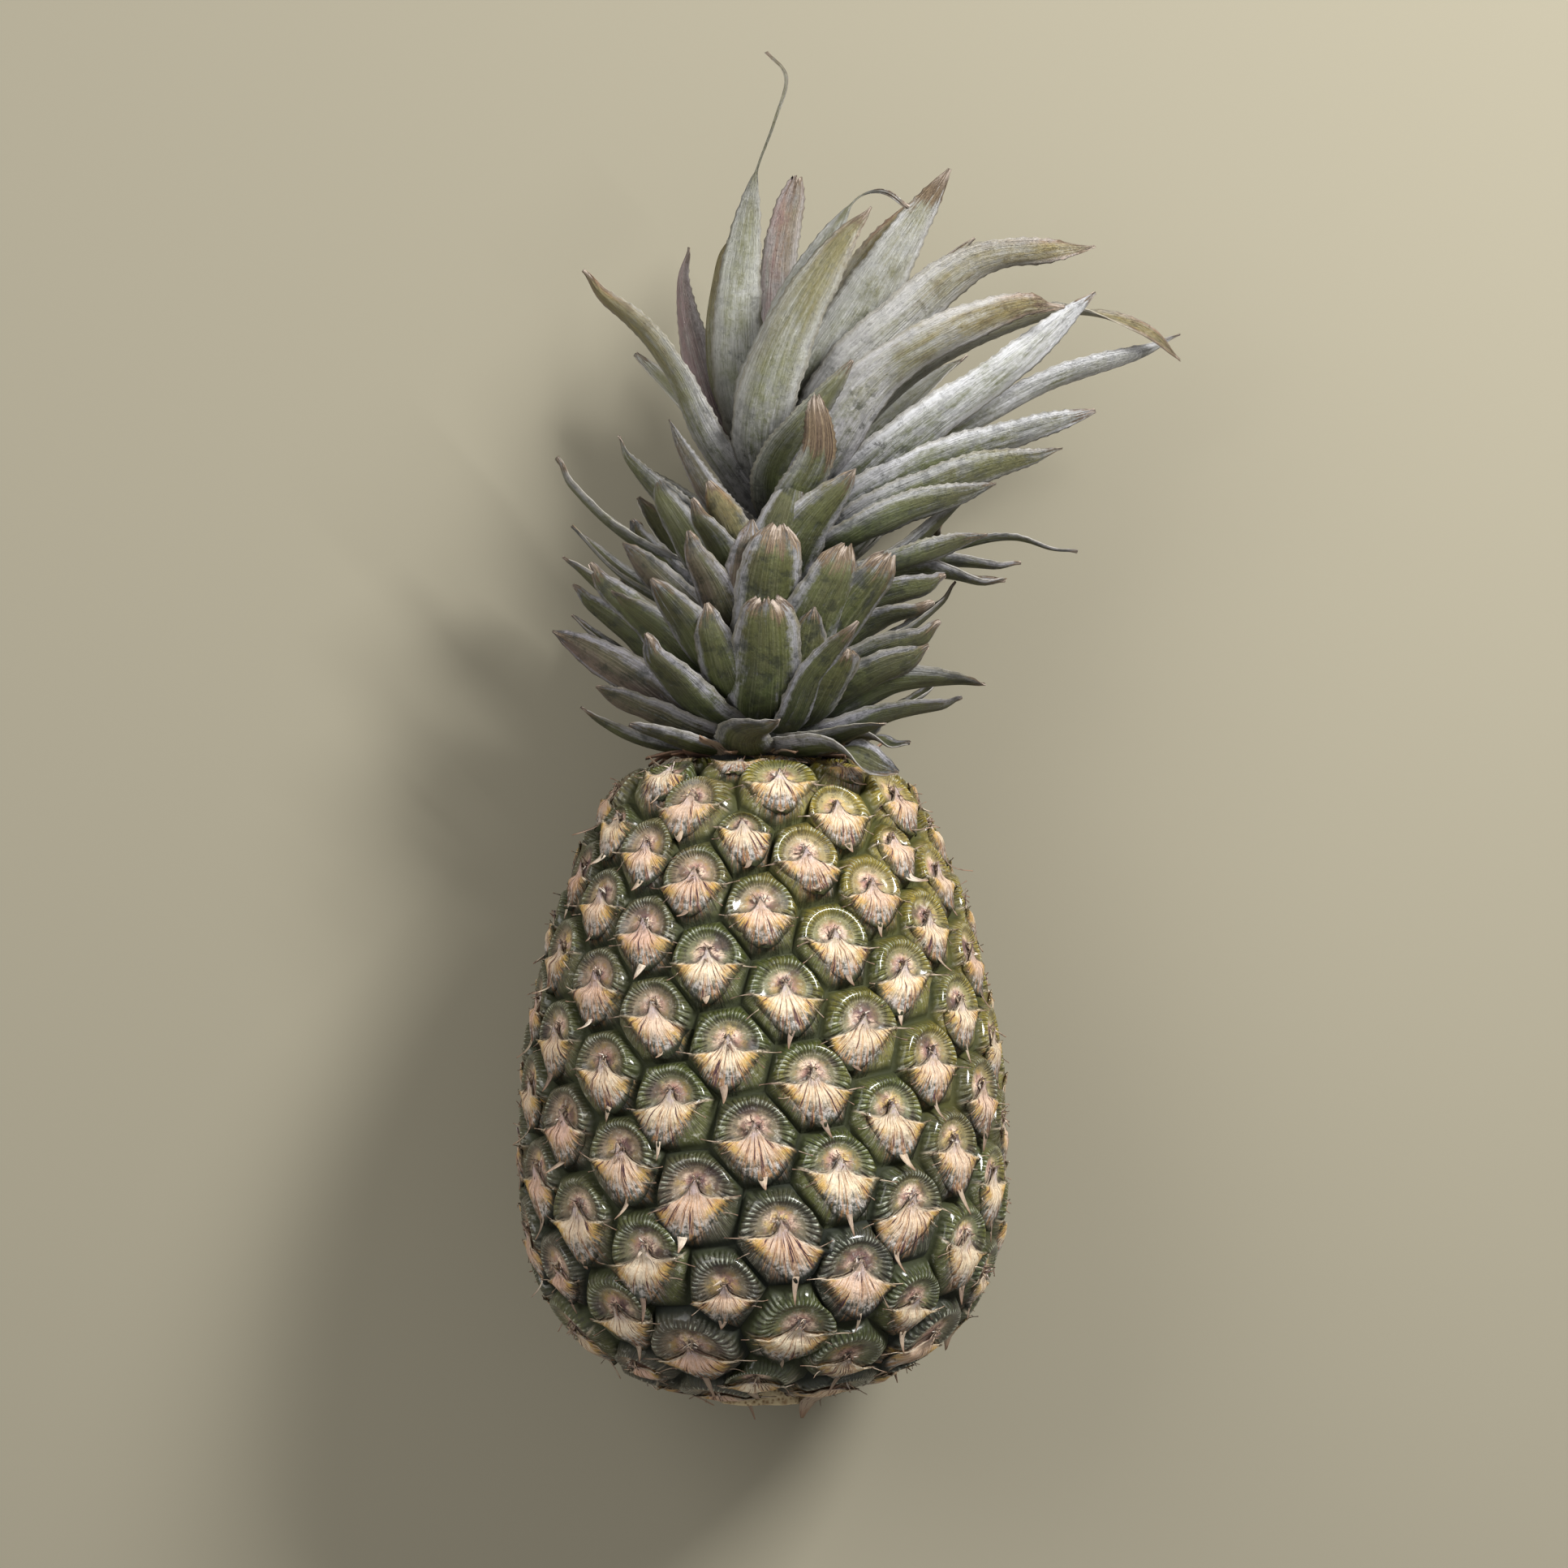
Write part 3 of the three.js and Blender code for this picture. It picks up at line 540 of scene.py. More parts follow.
def bract_color(finish, eye):
    """The dry bract: white at its neck, yellow to its sides, dark in streaks, grey and stippled
    lower down, and near black with painted shade where its lower end runs into the groove."""
    share, fall, edge, grit = eye.share, eye.fall, eye.edge, eye.grit
    ray = eye.ray - 0.5
    outside = share.step(0.1, 0.3)
    stipple = finish.paint((0.07, 0.075, 0.06), (eye.fine.step(0.4, 0.6), (0.59, 0.54, 0.5)))
    return finish.paint(
        (1.0, 0.84, 0.61),
        ((eye.tint.step(0.3, 0.9) + eye.rosy * 0.5) * 0.7, (0.86, 0.57, 0.45)),
        (eye.mood * 0.45, (0.5, 0.4, 0.26)),
        (edge.step(-0.48, -0.2) * eye.mottle.step(0.34, 0.54) * 0.9, (0.66, 0.4, 0.07)),
        (edge.step(-0.26, 0.02) * 0.8, (0.17, 0.165, 0.07)),
        ((fall + ray * 1.1).step(0.12, 0.5), stipple),
        # painted shade: the fan's lower end turns near black where it runs into the groove
        ((fall + ray * 0.7).step(0.45, 0.9) * 0.85, (0.03, 0.035, 0.02)),
        (share.step(0.4, 0.1) * grit.step(0.42, 0.56) * 0.7, (0.78, 0.64, 0.69)),
        (eye.streaks.step(0.49, 0.56) * outside * 0.55, (0.55, 0.26, 0.08)),
        (eye.streaks.step(0.575, 0.62) * outside, (0.075, 0.03, 0.04)),
        (grit.step(0.49, 0.41) * 0.3, (0.3, 0.19, 0.13)),
    )


def skin_finish():
    """The waxy skin with the bracts on it: a glossy ribbed rim round a disc, a hairy flank beside
    the bract, the bract with a pale hem along its upper edge, and grooves painted near black, their
    dark green deepened with painted shade."""
    finish = Finish("waxy_fruit_skin", IOR=1.45, Coat_Roughness=0.12)
    eye = EyePattern(finish)
    share, ripe, dark, grit = eye.share, eye.ripe, eye.dark, eye.grit
    flank = finish.paint(
        (0.075, 0.08, 0.018),
        (ripe * 0.8, (0.28, 0.22, 0.04)),
        (dark, (0.016, 0.02, 0.01)),
        (eye.rosy * 0.5, (0.09, 0.065, 0.045)),
        (eye.hairs * 0.45, (0.36, 0.34, 0.26)),
    )
    # the grooves' dark green, deepened to near black with painted shade; lighter on ripe eyes and on eyes
    # that aren't dark
    groove = finish.paint(
        (0.005, 0.008, 0.003),
        (ripe, (0.07, 0.065, 0.008)),
        ((1 - dark) * 0.45, (0.04, 0.045, 0.007)),
    )
    hem = abs(eye.brim).step(0.035, 0.01) * share.step(1.05, 0.7) * share.step(0.1, 0.3)
    color = finish.paint(
        ring_color(finish, eye),
        (eye.under * 0.9, flank),
        (grit.step(0.48, 0.38) * 0.55, (0.03, 0.025, 0.02)),
        (grit.step(0.56, 0.66) * 0.4, (0.62, 0.6, 0.52)),
        (eye.bract, bract_color(finish, eye)),
        (hem * 0.6, (0.62, 0.5, 0.36)),
        # painted shade: the grooves' near black colour laid on towards each cell's edge
        ((share + (eye.fine - 0.5) * 0.06).step(0.84, 0.97), groove),
    )
    bare = 1 - eye.under
    wax = bare * share.step(0.35, 0.62) * share.step(0.95, 0.84)
    fibres = (eye.streaks + eye.ray + grit) * eye.bract + eye.ray * 0.5 * eye.rim
    heights = [(eye.ribs * eye.rim * bare, 0.8), (fibres, 0.7), (eye.mottle, 0.35)]
    rough = 0.74 - wax * 0.44 + eye.fine * 0.12
    return finish.surface(color, rough, heights, **{"Coat Weight": wax * 0.6})


def withered_finish():
    """Withered bristles and flower parts: brown, pink and cream."""
    finish = Finish("withered_flower")
    across, along = finish.uv()
    tint = finish.tint("tint")
    streak = finish.noise(finish.join(across * 5, along, tint * 43), 3.0)
    color = finish.paint(
        (0.12, 0.065, 0.045),
        (tint, (0.62, 0.5, 0.36)),
        (tint.step(0.75, 0.95), (0.82, 0.74, 0.64)),
        (along.step(0.5, 1.0) * 0.8, (0.3, 0.17, 0.1)),
        (streak.step(0.52, 0.7), (0.1, 0.04, 0.035)),
    )
    return finish.surface(color, 0.65 + streak * 0.2, [(streak, 0.2)])


def leaf_finish():
    """A waxy leaf under a silvery bloom that is rubbed off along its middle and in streaks, with
    veins along it, and a dry tip. The bloom is greyer and darker low in the crown, partly painted
    shade, and lighter high up, partly painted light, and brightest with painted light on the upper
    leaves on the right. Each leaf darkens towards its root with painted shade. The tints set how
    much bloom, olive and orange, purple and dryness a blade has."""
    finish = Finish("silvery_leaf", IOR=1.45)
    across, along = finish.uv()
    seed = finish.tint("seed")
    bloom, warm, purple, dry = (finish.tint(title) for title in LOOKS)
    run = along * finish.tint("length")
    place = finish.place()
    right, ahead = finish.split(place)[:2]
    # high is 1 far up the crown. Those leaves are painted lighter, with whiter bloom and fewer dark marks:
    # partly their own paler colour, partly painted light. The low leaves are painted darker, partly painted
    # shade among the crowded leaves.
    high = ahead.step(0.12, 0.2)
    # painted light: the upper leaves on the right side, where the light falls, are painted brighter
    painted_light = right.step(0.01, 0.06) * high
    vein = finish.noise(finish.join(across * 30, run * 0.01, seed * 71), 1.5, 3.0, 0.7)
    streak = finish.noise(finish.join(across * 4.5, run * 0.035, seed * 37), 1.4, 6.0, 0.75, 0.4)
    patch = finish.noise(place, 60.0, 6.0, 0.75)
    grain = finish.noise(place, 210.0, 6.0, 0.7)
    fine = finish.noise(place, 900.0, 4.0, 0.65)
    shift = streak - 0.5
    edge = abs(across - 0.5)
    mauve = finish.paint(
        (0.36, 0.19, 0.24),
        (across.step(0.2, 0.8), (0.07, 0.03, 0.05)),
        (vein.step(0.45, 0.7) * 0.5, (0.5, 0.38, 0.36)),
    )
    olive = finish.paint(
        (0.16, 0.155, 0.065),
        ((along + shift * 0.7).step(0.5, 1.0), (0.26, 0.2, 0.075)),
        (vein.step(0.4, 0.7) * 0.4, (0.4, 0.36, 0.22)),
        (grain.step(0.5, 0.64) * 0.5, (0.12, 0.09, 0.06)),
        (edge.step(0.2, 0.5) * (along + shift * 0.3).step(0.75, 1.0) * 0.7, (0.32, 0.1, 0.05)),
    )
    silver = finish.paint(
        (0.36, 0.35, 0.4),
        (high, (0.6, 0.6, 0.6)),
        # painted light: near white silver on the upper leaves on the right
        (painted_light, (0.85, 0.85, 0.89)),
        (vein.step(0.35, 0.7) * (0.25 + high * 0.3), (0.72, 0.72, 0.69)),
        ((warm * 0.3).math("MAXIMUM", purple * 0.5), (0.32, 0.27, 0.29)),
    )

    rub = edge + shift * 0.35 + (patch - 0.5) * 0.5
    middle = rub.step(0.46, 0.16) * along.step(0.05, 0.3) * along.step(1.05, 0.85) - 0.4
    bare = streak * (0.62 - high * 0.17) + patch * 0.3 + grain * 0.25 + middle * (0.17 - high * 0.07)
    # painted light also leaves a little more bloom showing on those leaves
    bare = bare + (fine - 0.5) * 0.12 + (along - 0.5) * warm * 0.42 - painted_light * 0.06
    cover = bare.step(0.65 + high * 0.05, 0.53 - high * 0.13) * (bloom * 0.7 + 0.25) * (0.6 + vein * 0.6)
    worn = (along + (patch - 0.5) * 2).step(0.85, 0.3)
    scuffs = finish.noise(place, 240.0, 6.0, 0.75).step(0.55, 0.63) * worn * (1 - high * 0.4)
    end = along + shift * 0.4 + (grain - 0.5) * 0.2 + dry * 0.035
    brown = end.step(0.96, 1.01)
    torn = end.step(1.0, 1.05) * along.step(0.93, 0.99) * streak.step(0.42, 0.56)
    dried = finish.paint(
        (0.065, 0.038, 0.025),
        (vein.step(0.35, 0.65), (0.25, 0.18, 0.105)),
        (torn, (0.62, 0.51, 0.42)),
    )
    color = finish.paint(
        (0.014, 0.022, 0.007),
        (patch.step(0.35, 0.65), (0.055, 0.075, 0.017)),
        (high * 0.6, (0.22, 0.22, 0.11)),
        (vein.step(0.4, 0.75) * 0.35, (0.22, 0.23, 0.13)),
        (purple * streak.step(0.25, 0.5), mauve),
        (warm * (along + shift * 0.6).step(0.3, 0.75), olive),
        (cover, silver),
        (scuffs * 0.85, (0.025, 0.026, 0.02)),
        (grain.step(0.53, 0.35) * (1 - high * 0.7) * 0.75, (0.02, 0.024, 0.014)),
        (edge.step(0.42, 0.48) * 0.45, (0.3, 0.27, 0.2)),
        # painted shade: each leaf darkens towards its root, where the leaves crowd together
        (along.step(0.5, 0.0) * 0.9, (0.016, 0.017, 0.016)),
        (brown, dried),
    )
    rough = 0.48 - high * 0.14 + cover * 0.12 + fine * 0.12 + brown * 0.2
    return finish.surface(color, rough, [(vein, 0.6), (streak + grain, 0.6), (fine, 0.06)])


def stalk_finish():
    """The cut stalk: pale fibres with brown dots between them."""
    finish = Finish("cut_stalk")
    place = finish.place()
    dots = finish.cells(place, 900.0)
    grain = finish.noise(place, 400.0, 4.0)
    color = finish.paint(
        (0.2, 0.12, 0.05),
        (dots.step(0.1, 0.55), (0.55, 0.44, 0.26)),
        (grain.step(0.45, 0.7), (0.3, 0.2, 0.1)),
    )
    return finish.surface(color, 0.75 + grain * 0.15, [(dots, 0.3), (grain, 0.4)])


# The skin, the bracts and the withered flowers

SECTOR_STEPS = 5
RINGS = np.array([0, 0.14, 0.26, 0.36, 0.46, 0.54, 0.61, 0.68, 0.75, 0.82, 0.88, 0.94, 1.0])


def make_skin(finish):
    """The whole skin: every sector of every eye as a grid of rings and steps along its edge. The
    rings are polygons at the groove and become circles inside it, and lie on the smooth fruit
    before the relief lifts them along its normal."""
    owner = eyes.owner
    step = np.linspace(0, 1, SECTOR_STEPS + 1)[:, None]
    edge = eyes.start[:, None] * (1 - step) + eyes.end[:, None] * step
    middle, centre = eyes.middle[owner][:, None], eyes.centre[owner][:, None]
    circle = centre + unit(edge - centre) * column(eyes.size[owner])
    to_edge = smoothstep(0.76, 1.0, RINGS)[:, None, None]
    target = circle[:, None] * (1 - to_edge) + edge[:, None] * to_edge
    offset = (target - middle[:, None]) * RINGS[:, None, None]
    up = (offset * eyes.up[owner][:, None, None]).sum(-1)
    right = (offset * eyes.right[owner][:, None, None]).sum(-1)
    angle, share = np.arctan2(up, right), RINGS[:, None]
    height = skin_height(share, angle, column(eye_scale[owner]))
    grids = laid_down(over_skin(*foot_on_skin(middle[:, None] + offset), height))
    uv = 0.5 + 0.5 * share[..., None] * paired(np.cos(angle), np.sin(angle))
    tints = {"tint": eye_tint[owner], "lean": eye_lean[owner]}
    return make_piece("fruit_skin", grids, finish, "fruit_skin", ["fruit"], uv, tints)


# A bract from its neck down: height y on the eye, half width, and lift over the skin.
BRACT_Y = np.array([0.05, -0.08, -0.2, -0.28, -0.33, -0.37, -0.45, -0.56, -0.69, -0.83, -0.97])
BRACT_HALF = np.array([0.02, 0.06, 0.14, 0.26, 0.45, 0.8, 0.68, 0.56, 0.44, 0.3, 0.1])
BRACT_LIFT = np.array([1.6, 1.2, 0.9, 0.8, 0.75, 0.7, 0.6, 0.45, 0.3, 0.25, 0.5])
BRACT_THICKNESS = 0.3
BRACT_DIP = 0.75
BRACT_FOLD = 0.15
BRACT_CREASE = 0.06


def make_bracts(finish):
    """The dry bract of every eye as a sheet: a narrow neck in the eye's middle, two horns where the
    disc ends, and a fan that narrows down to the groove. Its sides dip into the skin."""
    lean, tint = column(eye_lean), column(eye_tint)
    u = np.linspace(-1, 1, 7)
    half = BRACT_HALF * rng.uniform(0.94, 1.06, (eyes.count, len(BRACT_Y)))
    down = (BRACT_Y + rng.normal(0, 0.006, (eyes.count, len(BRACT_Y))))[..., None]
    across = half[..., None] * u
    x = across - BRACT_LEAN * lean * down
    y = down - BRACT_TURN * lean * across - BRACT_SAG * (tint - 0.5) * across**2
    dip = BRACT_DIP * smoothstep(-0.4, -0.5, down) * u**4
    fold = BRACT_FOLD * np.cos(u * 7 + tint * 9) * (down < -0.33)
    lift = BRACT_LIFT[:, None] - dip + fold + rng.normal(0, BRACT_CREASE, x.shape)
    grids = on_eye(np.arange(eyes.count), x, y, lift)
    uv = 0.5 + 0.5 * paired(x, y)
    tints = {"tint": eye_tint, "lean": eye_lean}
    return make_piece(
        "bracts", grids, finish, "fruit_skin", ["fruit"], uv, tints, thickness=BRACT_THICKNESS,
    )


STRIP_THICKNESS = 0.2


def strips(name, eye, start, heading, length, width, lift, tint, finish, rows=6, bend=0.35):
    """Thin strips on eyes, one per row of the arguments. Each runs from its start by its heading
    over its length, which are in shares of the eye, and narrows to a point. lift gives its height
    over the skin at its start, how much it rises to its end, and the power of that rise."""
    along = np.linspace(0, 1, rows)[:, None]
    across = np.linspace(-1, 1, 3)
    turn = column(heading) + column(rng.normal(0, bend, len(eye))) * along
    half = column(width) / column(eyes.size[eye]) * (1 - 0.9 * along**1.4) * across
    x = column(start[0]) + column(length) * along * np.cos(turn) - half * np.sin(turn)
    y = column(start[1]) + column(length) * along * np.sin(turn) + half * np.cos(turn)
    base, rise, power = (column(values) for values in lift)
    grids = on_eye(eye, x, y, base + rise * along**power + 0.1 * across**2)
    uv = paired(across * 0.5 + 0.5, along)
    return make_piece(
        name, grids, finish, "fruit_skin", ["fruit"], uv, {"tint": tint}, thickness=STRIP_THICKNESS,
    )


BRISTLE_SIDES = (-1, 1, -2, 2, 0)
HORN_DROP = 0.375
TIP_DROP = 0.86


def make_bristles(finish):
    """The bristles of every bract: on each side one drawn out from its horn across the groove and a
    shorter hair under it, and a curled tip at its lower end."""
    eye = np.tile(np.arange(eyes.count), len(BRISTLE_SIDES))
    kind = np.repeat(BRISTLE_SIDES, eyes.count)
    tip, hair, side = kind == 0, np.abs(kind) == 2, np.sign(kind)
    draw = partial(rng.uniform, size=len(eye))
    lean, tint = eye_lean[eye], eye_tint[eye]
    outward = side * np.where(hair, draw(0.35, 0.6), draw(0.55, 0.7))
    drop = np.where(hair, draw(0.44, 0.6), HORN_DROP) + BRACT_TURN * lean * outward
    drop = drop + BRACT_SAG * (tint - 0.5) * outward**2
    start = (np.where(tip, TIP_DROP * BRACT_LEAN * lean, outward), np.where(tip, -TIP_DROP, -drop))
    spread = np.where(hair, draw(-0.8, -0.1), draw(-0.3, 0.2))
    heading = np.where(tip, -math.pi / 2 + draw(-0.5, 0.5), np.where(side > 0, 0, math.pi) + side * spread)
    length = np.where(tip, draw(0.12, 0.4), np.where(hair, draw(0.15, 0.35), draw(0.2, 0.55)))
    width = np.where(tip, draw(0.4, 1.0), np.where(hair, 0.11, draw(0.13, 0.22)))
    rise = np.where(tip, draw(0, 1) ** 1.6 * 5.5, draw(0, 1) ** 3 * 2.5)
    lift, color = (0.4, rise, draw(1, 2.5)), draw(0.2, 0.85)
    return strips("bristles", eye, start, heading, length, width, lift, color, finish, bend=0.12)


REMNANTS_PER_EYE = 8


def make_remnants(finish):
    """Withered flower parts in the middle of every eye that the stalk doesn't cover: small strips
    that stand out of it."""
    open_eyes = np.flatnonzero(np.linalg.norm(eyes.middle[:, :2], axis=1) > STALK_RADIUS)
    eye = np.repeat(open_eyes, REMNANTS_PER_EYE)
    draw = partial(rng.uniform, size=len(eye))
    start = (draw(-0.1, 0.1), draw(-0.14, 0.1))
    heading = draw(-math.pi, math.pi)
    lift = (draw(0, 0.3), draw(0.3, 2.6), draw(0.6, 1.5))
    length, width, tint = draw(0.06, 0.26), draw(0.2, 0.5), draw(0, 1)
    return strips("flower_remnants", eye, start, heading, length, width, lift, tint, finish, 4)


SCRAPS = [((6, -74, 74), -1.2, 6.0), ((46, -62, 62), -0.3, 5.0), ((-30, -76, 60), -1.8, 3.0)]
SCRAP_LENGTH = 0.75
SCRAP_WIDTH = 2.2


def make_scraps(finish):
    """Larger dry scraps at the fruit's lower end: each a strip on the eye nearest to a place, with
    its heading and how far its end stands off."""
    places, heading, rise = zip(*SCRAPS)
    middles = laid_down(eyes.middle)
    eye = np.array([np.linalg.norm(middles - place, axis=1).argmin() for place in places])
    start, lift, tint = (0, -0.5), (0.4, rise, 1.6), 0.45
    return strips(
        "dry_scraps", eye, start, heading, SCRAP_LENGTH, SCRAP_WIDTH, lift, tint, finish, 8, 0.3,
    )


# The crown, in its own frame: x to the right, y towards the crown's top, z up

CROWN_BASE = laid_down(np.array([0, 0, FRUIT_LENGTH]))
STEM_TOP = np.array([7.0, 72.0, -3.0])
STEM_OUTLINE = np.array([[0, 0], [20, 0], [20, 14], [16, 36], [9, 60], [0, 72]], float)
LEAF_THICKNESS = 1.1
EDGE_THINNING = 0.6
LEAF_TIP = 0.4
ROOT_WIDTH = 0.7
FULL_WIDTH_AT = 0.45
TAPER = 2.6
BLUNT_TAPER = 4.0
ROOT_BEND = 58.0
TIP_BEND = 30.0
TOOTH = 0.3
EDGE_WAVE = 0.6
TIP_CURL = (-1, 4)
BROKEN_RAGS, WHOLE_RAGS = 1.1, 0.2
LOWEST_LEAF = 0.2


def row(name, root, width, face, *rib, **looks):
    """One leaf: where it leaves the stem (0 to 1), its width, the way its inner side faces in
    degrees from the front, the points its middle runs through, and its looks. It may be broken off
    at a share of its length, or end in a thread over a share of it, its tail."""
    usual = dict(bloom=0.9, warm=0.2, purple=0.0, dry=0.3, broken=1, tail=0, slot="green_leaf")
    return dict(name=name, root=root, width=width, face=face, rib=rib) | usual | looks


LARGE_LEAVES = [
    row("leaf_front_tall", .86, 17, -12, (-1, 84, 18), (5, 107, 24), (16, 127, 27), (27, 143, 26),
        bloom=.6, warm=.6, dry=.8),
    row("leaf_front_small", .8, 13, 20, (4, 76, 20), (12, 88, 29), (23, 102, 33), bloom=.15, warm=.15),
    row("leaf_front_dry_tip", .7, 13, 12, (8, 66, 28), (14, 78, 36), (14, 92, 41),
        bloom=.4, dry=6, broken=.9),
    row("leaf_front_tall_behind", .9, 15, -20, (-2, 92, 11), (6, 115, 15), (18, 137, 17),
        (25, 146, 16), (32, 148, 14), (38, 146, 11), bloom=.9, dry=.9, tail=.16),
    row("leaf_right_arching", .84, 17, 22, (14, 75, 20), (29, 97, 27), (49, 110, 29), (67, 117, 26),
        (77, 117, 22), bloom=.9, warm=1.0, dry=1.5, slot="ripening_leaf"),
    row("leaf_right_hooked", .92, 16, 20, (18, 94, 12), (37, 114, 17), (54, 128, 18), (73, 132, 15),
        (86, 134, 10), bloom=.8, warm=1.0, dry=.9, slot="ripening_leaf"),
    row("leaf_right_tall", .96, 18, 10, (14, 97, 6), (26, 118, 7), (38, 138, 8), (48, 154, 8),
        bloom=.8, warm=.35, dry=2.5),
    row("leaf_right_silver", .8, 16, 30, (25, 72, 13), (45, 88, 17), (65, 103, 16), (85, 122, 11),
        bloom=1.0, warm=.1),
    row("leaf_right_wide", .7, 15, 28, (25, 66, 13), (47, 78, 13), (68, 86, 9), (86, 92, 4),
        bloom=.95, dry=.8),
    row("leaf_right_lower", .64, 14, 30, (24, 61, 18), (44, 71, 18), (60, 77, 14), (78, 81, 8),
        bloom=.6, warm=.3),
    row("leaf_right_green", .6, 14, 34, (22, 57, 23), (38, 65, 23), (60, 72, 16), bloom=.6),
    row("leaf_right_low_green", .52, 12, 38, (22, 47, 20), (39, 53, 21), (57, 60, 15), bloom=.5, dry=.9),
    row("leaf_left_tendril", .95, 15, -10, (-5, 92, 5), (-7, 114, 6), (-5, 135, 7), (-2, 152, 8),
        (3, 166, 9), (6, 178, 9), (1, 184, 8), bloom=.7, warm=.4, dry=0, tail=.27),
    row("leaf_left_edge", .92, 10, -60, (-11, 94, -1), (-14, 112, -1), (-12, 128, 0), (-9, 140, 1),
        bloom=.5, warm=.8),
    row("leaf_left_purple", .88, 14, -42, (-12, 88, -3), (-18, 106, -6), (-21, 122, -8),
        (-21, 136, -9), bloom=.5, purple=.9, slot="purple_leaf"),
    row("leaf_left_orange_tip", .78, 12, -40, (-15, 84, 8), (-23, 101, 11), (-32, 113, 12),
        (-48, 126, 10), bloom=.8, warm=.9, slot="ripening_leaf"),
    row("leaf_left_short", .7, 12, -36, (-12, 66, 18), (-18, 76, 22), (-24, 88, 23), purple=.3),
    row("leaf_left_spreading", .6, 13, -46, (-17, 60, 10), (-27, 70, 10), (-39, 84, 8), dry=.8),
    row("leaf_back_pink", .97, 12, 0, (4, 100, -5), (4, 129, -8), (6, 142, -9), (9, 154, -9),
        purple=.9, warm=.5, broken=.84, slot="purple_leaf"),
    row("leaf_right_red_edge", .96, 14, 10, (15, 104, -4), (25, 128, -7), (38, 147, -8),
        bloom=.5, warm=.9, purple=.4, slot="ripening_leaf"),
    row("leaf_right_yellow_edge", .94, 13, 25, (19, 98, -2), (36, 119, 0), (55, 137, 0), warm=.8),
    row("leaf_right_long", .88, 10, 30, (24, 88, 4), (48, 107, 7), (76, 117, 7), (99, 113, 1),
        (109, 106, -6), bloom=.3, warm=1, dry=.9),
    row("leaf_right_white", .74, 12, 36, (28, 75, 1), (56, 90, 0), (78, 101, -2), (110, 111, -8), bloom=1),
    row("leaf_right_pale_tip", .48, 9, 50, (24, 48, 6), (48, 56, 4), (65, 59, 1), (81, 54, -5), dry=.9),
]

